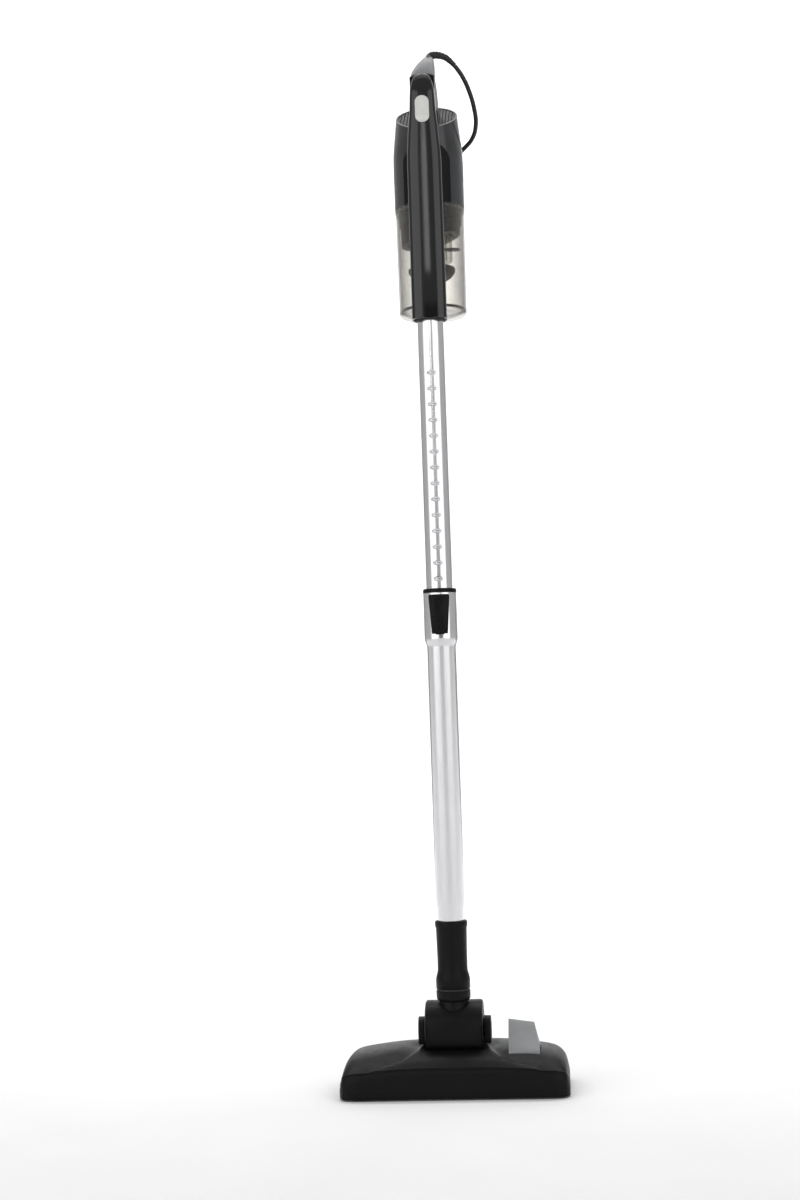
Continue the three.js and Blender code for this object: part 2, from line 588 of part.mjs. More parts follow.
add('hepa_filter', turned([
  [0, 1048], [27, 1048], [27, SEPARATOR_TOP], [0, SEPARATOR_TOP],
], 0, CAN_Y, 24), white());
add('core_tube', turned([
  [20, 1009], [24, 1009], [26.6, 1012], [26.6, 1047], [20, 1047],
], 0, CAN_Y, 24), smoky());
add('deflector', turned([
  [0, 984], [12, 984], [24, 990], [29.4, 998], [29.4, 1001], [20, 1004], [16, 1008.4], [0, 1008.4],
], 0, CAN_Y, 24), rubber());

/** A leaf-shaped guide vane that winds a quarter turn round the core. */
function vane() {
  const steps = 6;
  const rings = Array.from({ length: steps + 1 }, (_, k) => {
    const angle = THREE.MathUtils.degToRad(-60 + (120 * k) / steps);
    const width = 1 + 8 * Math.sin((Math.PI * k) / steps);
    const z = 1018 + (12 * k) / steps;
    const [inner, outer] = [27, 27 + width];
    return [[inner, z], [outer, z - 1], [outer, z + 1.4], [inner, z + 2.4]].map(([r, h]) => [
      r * Math.cos(angle), CAN_Y + r * Math.sin(angle), h,
    ]);
  });
  return loft(rings);
}
add('spiral_vane', vane(), rubber());

// ---------------------------------------------------------------- lid under the cup
const LID = { top: CUP_BOTTOM + 1, bottom: CUP_BOTTOM - 5, r: 42 };
const HINGE = { y: 24.8, z: 937.6, r: 2.4, pin: 1.2 };
const cupWallMid = cupRadius(CUP_BOTTOM) - CUP_WALL;
add('lid_gasket', turned([
  [36.4, LID.top + GAP], [cupWallMid - GAP, LID.top + GAP], [cupWallMid - GAP, LID.top + 3], [36.4, LID.top + 3],
], 0, CAN_Y, 28), rubber());
add('cup_lid', cut(
  join(
    turned([
      [0, LID.bottom], [34, LID.bottom], [39, LID.bottom + 1.2], [LID.r, LID.top - 2], [LID.r, LID.top],
      [39, LID.top], [34, LID.top - 3], [0, LID.top - 3],
    ], 0, CAN_Y, 28),
    rodX(HINGE.r, -11, 11, HINGE.y, HINGE.z, 16),
    box(-11, 11, HINGE.y, HINGE.y + 8, HINGE.z - 0.6, LID.bottom + 3),
  ),
  rodX(HINGE.pin + GAP, -12, 12, HINGE.y, HINGE.z, 12),
), smoky());
add('lid_pin', rodX(HINGE.pin, -13, 13, HINGE.y, HINGE.z, 12), steel());
add('lid_latch', prism('x', [
  [107.8, 949], [109.4, 951], [109.8, 964], [112, 964], [112.6, 950],
  [111.4, 936.6], [105, 936.6], [105, 939.4], [107.8, 939.4],
], -7, 7), matteBlack());

// ---------------------------------------------------------------- cord
const RELIEF = [[7, 31.5, 1258], [9.6, 32.2, 1261], [17.6, 33.5, 1262.4], [29, 35.5, 1258.4], [39, 37.6, 1249]];
/** The sleeve that guards the cord's bend, thick at the cap and thin at its end. */
function relief() {
  const path = new THREE.CatmullRomCurve3(RELIEF.map((p) => new THREE.Vector3(...p)));
  const steps = 10;
  const frames = path.computeFrenetFrames(steps, false);
  const rings = Array.from({ length: steps + 1 }, (_, k) => {
    const middle = path.getPointAt(k / steps);
    const radius = 4.6 - (1.3 * k) / steps;
    return Array.from({ length: 12 }, (_, n) => {
      const angle = (n / 12) * Math.PI * 2;
      const offset = frames.normals[k].clone().multiplyScalar(Math.cos(angle) * radius)
        .add(frames.binormals[k].clone().multiplyScalar(Math.sin(angle) * radius));
      return middle.clone().add(offset).toArray();
    });
  });
  return loft(rings);
}
add('strain_relief', cut(relief(), box(-40, 60, -10, 80, 1200, 1257.5 + GAP)), rubber());

const CORD_ROUTE = [
  [39.2, 37.7, 1248.7], [48, 41, 1235.5], [55.4, 47, 1218.5], [60.4, 55, 1200], [61.6, 66, 1183],
  [56.5, 80, 1170], [44.5, 94, 1161], [30, 105, 1152], [15, 113, 1140], [3, 118, 1122], [-5, 119.5, 1096],
  [-7, 119.5, 1060], [-7, 119.5, 900], [-7, 119.5, 700], [-7, 119.5, 500], [-7, 119.5, 300],
  [-7, 119.5, 120], [-7, 119.4, 50], [-6, 118.8, 27], [-0.5, 118, 10], [9, 118.2, 4.2], [19, 121.5, 3.4],
  [28, 129.5, 3.4], [33.4, 140, 3.4], [36.4, 151, 3.4],
];
add('cord_tube', swept(CORD_ROUTE, CORD_R, 8, 72), rubber());
add('cord_coil', turned([
  [COIL_IN, COIL_BOTTOM], [COIL_OUT - 2, COIL_BOTTOM], [COIL_OUT, COIL_BOTTOM + 2], [COIL_OUT, COIL_TOP - 2],
  [COIL_OUT - 2, COIL_TOP], [COIL_IN, COIL_TOP],
], COIL_X, COIL_Y, 28), rubber());

const PLUG = { y: COIL_Y + 24, z: COIL_TOP + GAP + 6.9, x0: COIL_X - 30, x1: COIL_X };
add('plug', join(
  prism('x', roundRect(PLUG.y - 17.5, PLUG.y + 17.5, PLUG.z - 6.8, PLUG.z + 6.8, 6.6, 4), PLUG.x0, PLUG.x1),
  rodX(2, PLUG.x0 - 19, PLUG.x0 + 1, PLUG.y - 9.3, PLUG.z, 12),
  rodX(2, PLUG.x0 - 19, PLUG.x0 + 1, PLUG.y + 9.3, PLUG.z, 12),
  turnedX([[0, PLUG.x1 - 1], [5.4, PLUG.x1 - 1], [3.6, PLUG.x1 + 16], [0, PLUG.x1 + 16]], PLUG.y, PLUG.z, 12),
), rubber());

export default vacuum;
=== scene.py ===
"""An upright stick vacuum cleaner: fine shapes, procedural finishes and a plain studio round the CAD frame.

Shapes are given in millimetres, with depths measured from the wand's axis, as in the CAD.
place() turns them into metres.
"""

import json
import math

import bmesh
import bpy
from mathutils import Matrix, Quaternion, Vector, geometry


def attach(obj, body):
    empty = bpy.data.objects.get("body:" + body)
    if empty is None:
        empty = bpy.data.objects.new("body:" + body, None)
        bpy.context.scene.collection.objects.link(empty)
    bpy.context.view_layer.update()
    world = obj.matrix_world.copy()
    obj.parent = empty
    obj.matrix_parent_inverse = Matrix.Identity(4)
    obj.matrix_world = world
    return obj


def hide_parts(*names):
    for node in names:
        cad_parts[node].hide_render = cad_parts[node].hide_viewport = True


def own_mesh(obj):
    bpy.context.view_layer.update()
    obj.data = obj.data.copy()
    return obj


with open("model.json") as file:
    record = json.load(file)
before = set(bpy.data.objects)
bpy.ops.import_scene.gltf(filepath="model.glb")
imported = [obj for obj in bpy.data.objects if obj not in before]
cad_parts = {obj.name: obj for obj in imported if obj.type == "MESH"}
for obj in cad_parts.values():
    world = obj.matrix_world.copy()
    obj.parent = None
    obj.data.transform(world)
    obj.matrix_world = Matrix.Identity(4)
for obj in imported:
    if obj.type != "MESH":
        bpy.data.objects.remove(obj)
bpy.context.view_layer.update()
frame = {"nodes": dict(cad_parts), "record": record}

MM = 0.001
WAND_Y = -26


def place(x, y, z):
    """A CAD point in millimetres, as a point in the row frame."""
    return Vector((x, y + WAND_Y, z)) * MM


# ---------------------------------------------------------------- camera
CAMERA = {
    "distance": 2.218,
    "height": 0.446,
    "azimuth": 3.6,
    "aside": 1.24,
    "pitch": 3.56,
    "roll": 1.9,
    "lens": 55.44,
}


def make_camera():
    """The camera at the photograph's viewing angle, rolled a little to one side."""
    azimuth = math.radians(CAMERA["azimuth"])
    heading = azimuth + math.radians(CAMERA["aside"])
    pitch = math.radians(CAMERA["pitch"])
    camera = bpy.data.objects.new("camera", bpy.data.cameras.new("camera"))
    bpy.context.scene.collection.objects.link(camera)
    camera.location = (
        CAMERA["distance"] * math.sin(azimuth),
        WAND_Y * MM - CAMERA["distance"] * math.cos(azimuth),
        CAMERA["height"],
    )
    ahead = Vector((
        -math.sin(heading) * math.cos(pitch),
        math.cos(heading) * math.cos(pitch),
        math.sin(pitch),
    ))
    level = ahead.to_track_quat("-Z", "Y")
    camera.rotation_mode = "QUATERNION"
    camera.rotation_quaternion = level @ Quaternion((0, 0, 1), -math.radians(CAMERA["roll"]))
    camera.data.lens = CAMERA["lens"]
    camera.data.clip_start = 0.05
    bpy.context.scene.camera = camera
    bpy.context.scene.view_settings.view_transform = "Standard"


make_camera()


# ---------------------------------------------------------------- finishes
def tone(red, green, blue):
    """A display colour of 0 to 255 a channel, as the linear colour that shaders take."""
    def linear(value):
        share = value / 255
        return share / 12.92 if share <= 0.04045 else ((share + 0.055) / 1.055) ** 2.4
    return (linear(red), linear(green), linear(blue), 1)


def shaded(colour, share):
    return (*(min(1, channel * share) for channel in colour[:3]), 1)


class Finish:
    """A procedural material that is put together node by node around one Principled shader."""

    def __init__(self, name):
        self.material = bpy.data.materials.new(name)
        self.material.use_nodes = True
        self.tree = self.material.node_tree
        self.shader = self.tree.nodes["Principled BSDF"]
        self.out = self.tree.nodes["Material Output"]
        self.coordinates = self.tree.nodes.new("ShaderNodeTexCoord")
        self.normal = None

    def set(self, **sockets):
        for name, value in sockets.items():
            self.shader.inputs[name.replace("_", " ")].default_value = value
        return self

    def pattern(self, scale, detail=3, roughness=0.55, stretch=(1, 1, 1)):
        """Fractal noise over the piece's own coordinates, in cells a metre. Stretch draws it out."""
        mapping = self.tree.nodes.new("ShaderNodeMapping")
        mapping.inputs["Scale"].default_value = stretch
        self.tree.links.new(self.coordinates.outputs["Object"], mapping.inputs["Vector"])
        texture = self.tree.nodes.new("ShaderNodeTexNoise")
        texture.inputs["Scale"].default_value = scale
        texture.inputs["Detail"].default_value = detail
        texture.inputs["Roughness"].default_value = roughness
        self.tree.links.new(mapping.outputs["Vector"], texture.inputs["Vector"])
        return texture.outputs["Fac"]

    def waves(self, scale, direction="Z", profile="SIN", distortion=0.0):
        texture = self.tree.nodes.new("ShaderNodeTexWave")
        texture.bands_direction = direction
        texture.wave_profile = profile
        texture.inputs["Scale"].default_value = scale
        texture.inputs["Distortion"].default_value = distortion
        self.tree.links.new(self.coordinates.outputs["Object"], texture.inputs["Vector"])
        return texture.outputs["Fac"]

    def spread(self, value, low, high):
        """value of 0.3 to 0.7, where noise mostly lies, spread from low to high."""
        node = self.tree.nodes.new("ShaderNodeMapRange")
        node.inputs["From Min"].default_value = 0.3
        node.inputs["From Max"].default_value = 0.7
        node.inputs["To Min"].default_value = low
        node.inputs["To Max"].default_value = high
        self.tree.links.new(value, node.inputs["Value"])
        return node.outputs["Result"]

    def ramp(self, value, *stops):
        node = self.tree.nodes.new("ShaderNodeValToRGB")
        elements = node.color_ramp.elements
        while len(elements) < len(stops):
            elements.new(0.5)
        for element, (position, colour) in zip(elements, stops):
            element.position = position
            element.color = colour
        self.tree.links.new(value, node.inputs["Fac"])
        return node.outputs["Color"]

    def mix(self, share, under, over):
        node = self.tree.nodes.new("ShaderNodeMix")
        node.data_type = "RGBA"
        self.tree.links.new(share, node.inputs[0])
        for value, socket in ((under, node.inputs[6]), (over, node.inputs[7])):
            if isinstance(value, tuple):
                socket.default_value = value
            else:
                self.tree.links.new(value, socket)
        return node.outputs[2]

    def edges(self):
        """Rises from 0 to 1 on worn, outward edges."""
        geometry_node = self.tree.nodes.new("ShaderNodeNewGeometry")
        node = self.tree.nodes.new("ShaderNodeMapRange")
        node.inputs["From Min"].default_value = 0.53
        node.inputs["From Max"].default_value = 0.66
        self.tree.links.new(geometry_node.outputs["Pointiness"], node.inputs["Value"])
        return node.outputs["Result"]

    def bump(self, height, depth, strength=1.0):
        """Relief of that depth in metres, on top of any before it."""
        node = self.tree.nodes.new("ShaderNodeBump")
        node.inputs["Strength"].default_value = strength
        node.inputs["Distance"].default_value = depth
        self.tree.links.new(height, node.inputs["Height"])
        if self.normal is not None:
            self.tree.links.new(self.normal, node.inputs["Normal"])
        self.normal = node.outputs["Normal"]
        return self

    def colour(self, value):
        self.tree.links.new(value, self.shader.inputs["Base Color"])
        return self

    def roughness(self, value):
        self.tree.links.new(value, self.shader.inputs["Roughness"])
        return self

    def done(self):
        if self.normal is not None:
            self.tree.links.new(self.normal, self.shader.inputs["Normal"])
        return self.material


def moulded(name, colour, rough, grain=2600, relief=0.00003, mottle=0.10, worn=1.5, **sockets):
    """Moulded plastic or rubber: a fine grain, slow colour drift, uneven gloss and paler worn edges."""
    finish = Finish(name).set(**sockets)
    drift = finish.ramp(
        finish.pattern(38, 4), (0.3, shaded(colour, 1 - mottle)), (0.7, shaded(colour, 1 + mottle)))
    finish.colour(finish.mix(finish.edges(), drift, shaded(colour, worn)))
    finish.roughness(finish.spread(finish.pattern(120, 4), rough * 0.88, min(1, rough * 1.12)))
    finish.bump(finish.pattern(grain, 2), relief)
    finish.bump(finish.pattern(24, 1), 0.0002, 0.25)
    return finish.done()


def brushed(name, colour, rough, along=(1, 1, 0.02), relief=0.000012):
    """Metal with fine scratches drawn out along the piece, and faint smudges."""
    finish = Finish(name).set(Metallic=1.0)
    scratches = finish.pattern(2600, 3, stretch=along)
    finish.colour(finish.ramp(scratches, (0.3, shaded(colour, 0.9)), (0.7, shaded(colour, 1.04))))
    smudges = finish.pattern(16, 3)
    finish.roughness(finish.spread(smudges, rough * 0.85, rough * 1.2))
    finish.bump(scratches, relief, 0.5)
    return finish.done()


def clear(name, tint, body, share, rough=0.06):
    """See-through moulded plastic: light passes tinted, and the surface mirrors more towards its rim."""
    finish = Finish(name).set(Specular_IOR_Level=0.6, IOR=1.5)
    finish.colour(finish.ramp(finish.pattern(30, 3), (0.3, shaded(body, 0.92)), (0.7, shaded(body, 1.08))))
    finish.roughness(finish.spread(finish.pattern(90, 4), rough * 0.7, rough * 1.5))
    finish.bump(finish.pattern(60, 2), 0.0001, 0.12)
    material = finish.done()
    tree = finish.tree
    through = tree.nodes.new("ShaderNodeBsdfTransparent")
    tint_colour = finish.ramp(finish.pattern(26, 3), (0.3, shaded(tint, 0.97)), (0.7, shaded(tint, 1.03)))
    tree.links.new(tint_colour, through.inputs["Color"])
    weight = tree.nodes.new("ShaderNodeLayerWeight")
    weight.inputs["Blend"].default_value = 0.35
    amount = tree.nodes.new("ShaderNodeMapRange")
    amount.inputs["To Min"].default_value = share
    amount.inputs["To Max"].default_value = 0.75
    tree.links.new(weight.outputs["Facing"], amount.inputs["Value"])
    both = tree.nodes.new("ShaderNodeMixShader")
    tree.links.new(amount.outputs["Result"], both.inputs[0])
    tree.links.new(through.outputs[0], both.inputs[1])
    tree.links.new(finish.shader.outputs[0], both.inputs[2])
    tree.links.new(both.outputs[0], finish.out.inputs["Surface"])
    return material


def fibrous(name, colour, scale, direction, relief):
    """Bristles, felt or pleated paper: fine ridges over a soft, matt ground."""
    finish = Finish(name).set(Sheen_Weight=0.3)
    ridges = finish.waves(scale, direction, distortion=1.2)
    # The colour follows the ridges' relief: darker in the grooves and paler on the crests, painted shade and
    # painted light over the ridges.
    finish.colour(finish.ramp(ridges, (0.2, shaded(colour, 0.6)), (0.8, shaded(colour, 1.15))))
    finish.roughness(finish.spread(finish.pattern(300, 3), 0.8, 0.95))
    finish.bump(ridges, relief)
    finish.bump(finish.pattern(1800, 3), relief * 0.5)
    return finish.done()


FINISHES = {
    "matte_black_plastic": moulded(
        "matte_black", tone(9, 9, 10), 0.42, relief=0.00005, worn=1.5, Specular_IOR_Level=0.13),
    "gloss_black_plastic": moulded(
        "gloss_black", tone(9, 10, 11), 0.12, grain=900, relief=0.000004, worn=1.3),
    "gloss_grey_plastic": moulded(
        "gloss_grey", tone(42, 43, 45), 0.2, grain=900, relief=0.000004, worn=1.3),
    "grey_plastic": moulded("mid_grey", tone(116, 118, 119), 0.42),
    "pale_grey_plastic": moulded("pale_grey", tone(122, 123, 124), 0.46, relief=0.00004, worn=1.15),
    "wand_metal": brushed("wand_metal", tone(228, 228, 230), 0.19, relief=0.000008),
    "steel": brushed("steel", tone(180, 182, 185), 0.3, along=(1, 1, 1)),
    "smoky_clear": clear("smoky_clear", tone(249, 248, 246), tone(128, 126, 122), 0.03),
    "white_plastic": moulded(
        "white_plastic", tone(196, 196, 192), 0.24, relief=0.00001, worn=1.05, Coat_Weight=0.3),
    "black_rubber": moulded("black_rubber", tone(17, 17, 18), 0.58, grain=1600, relief=0.00004, worn=1.8),
    "bristle": fibrous("bristle", tone(60, 60, 62), 420, "X", 0.0002),
    "lint_fabric": fibrous("lint_fabric", tone(120, 34, 34), 500, "X", 0.0002),
    "filter_paper": fibrous("filter_paper", tone(226, 224, 216), 220, "X", 0.0004),
    "motor_copper": brushed("motor_copper", tone(190, 120, 80), 0.35, along=(1, 1, 1)),
}


# ---------------------------------------------------------------- shape tools
def shape(name, points, faces):
    """A mesh piece from CAD points, with its faces turned outwards."""
    mesh = bpy.data.meshes.new(name)
    mesh.from_pydata([place(*p) for p in points], [], faces)
    piece = bpy.data.objects.new(name, mesh)
    bpy.context.scene.collection.objects.link(piece)
    face_out(piece)
    return piece


def face_out(piece):
    bm = bmesh.new()
    bm.from_mesh(piece.data)
    bmesh.ops.remove_doubles(bm, verts=bm.verts, dist=1e-7)
    bmesh.ops.recalc_face_normals(bm, faces=bm.faces)
    bm.to_mesh(piece.data)
    bm.free()


def loft(name, rings, closed=False):
    """A solid through rings of equal counts of points. A closed one joins its last ring to its first."""
    count = len(rings[0])
    points = [p for ring in rings for p in ring]
    faces = []
    spans = len(rings) if closed else len(rings) - 1
    for k in range(spans):
        here, there = k * count, ((k + 1) % len(rings)) * count
        for n in range(count):
            m = (n + 1) % count
            faces.append((here + n, here + m, there + m, there + n))
    if not closed:
        faces.append(tuple(range(count))[::-1])
        faces.append(tuple(range(len(points) - count, len(points))))
    return shape(name, points, faces)


def turned(name, profile, x=0, y=0, segments=96):
    """A closed profile of (radius, height) turned about the upright line through x, y."""
    rings = []
    for k in range(segments):
        angle = 2 * math.pi * k / segments
        c, s = math.cos(angle), math.sin(angle)
        rings.append([(x + r * c, y + r * s, z) for r, z in profile])
    return loft(name, rings, closed=True)


def turned_across(name, profile, y, z, segments=64):
    """A closed profile of (radius, x) turned about a line along X."""
    rings = []
    for k in range(segments):
        angle = 2 * math.pi * k / segments
        c, s = math.cos(angle), math.sin(angle)
        rings.append([(across, y + r * c, z + r * s) for r, across in profile])
    return loft(name, rings, closed=True)


def rod(name, r, start, end, sides=32):
    """A straight round bar between two CAD points."""
    return swept(name, [start, end], lambda share: r, sides)


def swept(name, line, radius, sides=16):
    """A round tube along a line of CAD points. radius gives its size at each share of the way."""
    line = [Vector(p) for p in line]
    rings = []
    side = None
    for k, middle in enumerate(line):
        ahead = (line[min(k + 1, len(line) - 1)] - line[max(k - 1, 0)]).normalized()
        if side is None:
            side = ahead.orthogonal().normalized()
        side = (side - ahead * side.dot(ahead)).normalized()
        other = ahead.cross(side)
        r = radius(k / (len(line) - 1))
        rings.append([
            tuple(middle + (side * math.cos(a) + other * math.sin(a)) * r)
            for a in (2 * math.pi * n / sides for n in range(sides))
        ])
    return loft(name, rings)


def prism(name, axis, outline, start, end):
    """A flat outline pushed along an axis. The outline is (y, z) for x, (x, z) for y and (x, y) for z."""
    orders = {
        "x": lambda u, v, w: (w, u, v),
        "y": lambda u, v, w: (u, w, v),
        "z": lambda u, v, w: (u, v, w),
    }
    order = orders[axis]
    return loft(name, [[order(u, v, w) for u, v in outline] for w in (start, end)])


def box(name, x0, x1, y0, y1, z0, z1):
    return prism(name, "z", [(x0, y0), (x1, y0), (x1, y1), (x0, y1)], z0, z1)


def rounded(u0, u1, v0, v1, r, steps=8):
    """The outline of a rectangle with round corners."""
    corners = [(u1 - r, v0 + r, -90), (u1 - r, v1 - r, 0), (u0 + r, v1 - r, 90), (u0 + r, v0 + r, 180)]
    outline = []
    for u, v, first in corners:
        for k in range(steps + 1):
            angle = math.radians(first + 90 * k / steps)
            outline.append((u + r * math.cos(angle), v + r * math.sin(angle)))
    return outline


def spline(controls, steps):
    """A smooth line through tuples of numbers, with that many steps between each two."""
    line = []
    last = len(controls) - 1
    for k in range(last):
        a, b, c, d = (Vector(controls[min(max(k + n, 0), last)]) for n in (-1, 0, 1, 2))
        for n in range(steps):
            t = n / steps
            line.append(tuple(
                b + (c - a) * (0.5 * t) + (2 * a - 5 * b + 4 * c - d) * (0.5 * t * t)
                + (3 * b - a - 3 * c + d) * (0.5 * t ** 3)))
    line.append(tuple(controls[-1]))
    return line


def combine(piece, operation, others):
    """Cuts the others out of the piece, or joins them to it, and leaves one mesh."""
    for other in others:
        modifier = piece.modifiers.new(operation, "BOOLEAN")
        modifier.operation = operation
        modifier.solver = "EXACT"
        modifier.object = other
    settle(piece)
    for other in others:
        mesh = other.data
        bpy.data.objects.remove(other)
        bpy.data.meshes.remove(mesh)
    return piece


def settle(piece):
    """Turns the piece's modifiers into its mesh."""
    graph = bpy.context.evaluated_depsgraph_get()
    mesh = bpy.data.meshes.new_from_object(piece.evaluated_get(graph))
    old = piece.data
    piece.modifiers.clear()
    piece.data = mesh
    mesh.name = piece.name
    bpy.data.meshes.remove(old)


def cut(piece, *others):
    return combine(piece, "DIFFERENCE", others)


def join(piece, *others):
    return combine(piece, "UNION", others)


def fit(piece, body, slot, *nodes, edge=0.0, crease=32, finish=None):
    """Shades a piece, rounds its sharp edges by edge millimetres, sets its finish, attaches it to its body
    and hides the CAD nodes it stands for.
    """
    piece.data.materials.clear()
    piece.data.materials.append(finish or FINISHES[slot])
    piece.data.shade_smooth()
    piece.data.set_sharp_from_angle(angle=math.radians(crease))
    if edge:
        bevel = piece.modifiers.new("edge", "BEVEL")
        bevel.width = edge * MM
        bevel.segments = 2
        bevel.limit_method = "ANGLE"
        bevel.angle_limit = math.radians(crease)
        bevel.harden_normals = False
        settle(piece)
        piece.data.shade_smooth()
        piece.data.set_sharp_from_angle(angle=math.radians(crease + 14))
    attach(piece, body)
    if nodes:
        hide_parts(*nodes)
    return piece


# ---------------------------------------------------------------- cord, coil and plug
CORD_R = 2.8
CORD_EXIT = (39.2, 37.7, 1248.7)
COIL = {"x": -9, "y": 168, "inner": 24.1, "outer": 42, "floor": 3.4, "turns": 3.18, "layers": 5, "climb": 120}
LANDING = {"r": 48.6, "first": -87.6, "bend": 28}
CORD_ROUTE = [
    CORD_EXIT, (48, 41, 1235.5), (55.4, 47, 1218.5), (60.4, 55, 1200), (61.6, 66, 1183),
    (56.5, 80, 1170), (44.5, 94, 1161), (30, 105, 1152), (15, 113, 1140), (3, 118, 1122),
    (-5, 119.5, 1096), (-7, 119.5, 1060), (-7, 119.5, 900), (-7, 119.5, 700), (-7, 119.5, 500),
    (-7, 119.5, 300), (-7, 119.5, 120), (-7, 119.5, 60),
]
PLUG = {"y": COIL["y"] + 24, "z": 35.8, "pins": -58, "front": -39, "back": -9, "sleeve": 7}
TURN_POINTS = 24


def around(radius, degrees, z):
    """A point beside the middle of the coil."""
    angle = math.radians(degrees)
    return (COIL["x"] + radius * math.cos(angle), COIL["y"] + radius * math.sin(angle), z)


def landing():
    """The hanging cord's quarter turn onto the floor, along a circle round the coil."""
    line = []
    for k in range(6):
        angle = math.radians(18 * k)
        along = math.degrees(LANDING["bend"] * (1 - math.cos(angle)) / LANDING["r"])
        line.append(around(
            LANDING["r"], LANDING["first"] + along, COIL["floor"] + LANDING["bend"] * (1 - math.sin(angle))))
    return line + [around(LANDING["r"], degrees, COIL["floor"]) for degrees in (-43, -31.5, -20)]


def coil_route():
    """The coil's turns, wound inwards and outwards by layers, then a half turn on top into the plug."""
    line = [around(46.6, 3, COIL["floor"]), around(43.8, 22, COIL["floor"])]
    degrees = 40.0
    step = 2 * CORD_R
    for layer in range(COIL["layers"]):
        ends = (COIL["outer"], COIL["inner"])
        start, end = ends if layer % 2 == 0 else ends[::-1]
        z = COIL["floor"] + layer * step
        count = round(COIL["turns"] * TURN_POINTS)
        for n in range(count + 1):
            share = n / count
            line.append(around(start + (end - start) * share, degrees + 360 * COIL["turns"] * share, z))
        degrees += 360 * COIL["turns"]
        if layer < COIL["layers"] - 1:
            for n in range(1, 8):
                share = n / 8
                line.append(around(
                    end, degrees + COIL["climb"] * share, z + step * share * share * (3 - 2 * share)))
            degrees += COIL["climb"]
    top = COIL["floor"] + COIL["layers"] * step
    last = degrees % 360
    for n in range(1, 10):
        share = n / 9
        line.append(around(
            COIL["inner"] + 0.4 * share, last + (270 - last) * share, top - step * (1 - share)))
    radius = PLUG["y"] - COIL["y"]
    for n in range(13):
        angle = math.radians(-90 + 15 * n)
        line.append((
            PLUG["sleeve"] + radius * math.cos(angle), COIL["y"] + radius * math.sin(angle),
            top + (PLUG["z"] - top) * n / 12))
    line.append((PLUG["sleeve"] - 6, PLUG["y"], PLUG["z"]))
    return line


def make_cord():
    """One smooth curve from the strain relief to the plug, with its tie round the coil."""
    controls = CORD_ROUTE + landing() + coil_route()
    curve = bpy.data.curves.new("cord", "CURVE")
    curve.dimensions = "3D"
    curve.bevel_depth = CORD_R * MM
    curve.bevel_resolution = 4
    curve.resolution_u = 5
    curve.use_fill_caps = True
    strand = curve.splines.new("BEZIER")
    strand.bezier_points.add(len(controls) - 1)
    for knot, control in zip(strand.bezier_points, controls):
        knot.co = place(*control)
        knot.handle_left_type = "AUTO"
        knot.handle_right_type = "AUTO"
    cord = bpy.data.objects.new("cord", curve)
    bpy.context.scene.collection.objects.link(cord)
    cord.data.materials.append(FINISHES["black_rubber"])
    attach(cord, "handheld")
    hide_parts("cord_tube", "cord_coil")
    pieces = [make_tie(), *make_plug()]


def make_tie():
    """A hook and loop strap round the coil's turns on one side."""
    inner, outer = COIL["inner"] - CORD_R - 0.6, COIL["outer"] + CORD_R + 0.6
    low, high = 0.1, COIL["floor"] + (COIL["layers"] - 1) * 2 * CORD_R + CORD_R + 0.5
    angle = math.radians(215)
    along = (math.cos(angle), math.sin(angle))
    across = (-along[1], along[0])
    rings = []
    for r, z in rounded(inner, outer, low, high, 3, 4):
        depth = 0.5
        out_r = r + (depth if r > (inner + outer) / 2 else -depth)
        out_z = max(0.05, z + (depth if z > (low + high) / 2 else -0.04))
        ring = []
        for radial, height, half in ((r, z, -7), (r, z, 7), (out_r, out_z, 7), (out_r, out_z, -7)):
            ring.append((
                COIL["x"] + along[0] * radial + across[0] * half,
                COIL["y"] + along[1] * radial + across[1] * half, height))
        rings.append(ring)
    tie = loft("coil_tie", rings, closed=True)
    return fit(tie, "handheld", "black_rubber")


def make_plug():
    """A flat two-pin plug with half-sleeved pins, a waist for the fingers and a ribbed sleeve."""
    half_y, half_z = 17.5, 6.8
    levels = [
        (PLUG["front"], 0.93, 0.9), (PLUG["front"] + 1.2, 0.985, 0.98), (PLUG["front"] + 5, 1, 1),
        (PLUG["front"] + 11, 0.94, 0.97), (PLUG["front"] + 18, 0.8, 0.9), (PLUG["front"] + 24, 0.62, 0.84),
        (PLUG["back"], 0.42, 0.76), (PLUG["back"] + 1, 0.34, 0.7),
    ]
    rings = []
    for x, wide, thick in spline(levels, 4):
        y0, z0 = half_y * wide, half_z * thick
        rings.append([
            (x, PLUG["y"] + u, PLUG["z"] + v) for u, v in rounded(-y0, y0, -z0, z0, z0 * 0.92, 8)])
    body = fit(loft("plug_body", rings), "handheld", "black_rubber")
    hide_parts("plug")
    length = PLUG["sleeve"] - PLUG["back"]
    profile = [(0.4, PLUG["back"] + 0.4)]
    for k in range(41):
        share = k / 40
        rib = 0.45 if k % 8 in (2, 3, 4) and k < 36 else 0.0
        profile.append((5.2 - 1.7 * share + rib, PLUG["back"] + 0.4 + (length - 0.4) * share))
    profile.append((0.4, PLUG["sleeve"]))
    sleeve = turned_across("plug_sleeve", profile, PLUG["y"], PLUG["z"], 40)
    fit(sleeve, "handheld", "black_rubber", crease=50)
    pins = []
    for side, offset in (("left", -9.3), ("right", 9.3)):
        y = PLUG["y"] + offset
        metal = turned_across(f"plug_pin_{side}", [
            (0.2, PLUG["front"] + 1), (1.9, PLUG["front"] + 1), (1.9, PLUG["pins"] + 1.6),
            (1.2, PLUG["pins"] + 0.4), (0.2, PLUG["pins"]),
        ], y, PLUG["z"], 24)
        pins.append(fit(metal, "handheld", "steel", crease=50))
        guard = turned_across(f"plug_guard_{side}", [
            (1.92, PLUG["front"] + 1), (2.1, PLUG["front"] + 1), (2.1, PLUG["front"] - 9.6),
            (1.92, PLUG["front"] - 10),
        ], y, PLUG["z"], 24)
        pins.append(fit(guard, "handheld", "black_rubber", crease=50))
    return [body, sleeve, *pins]


make_cord()


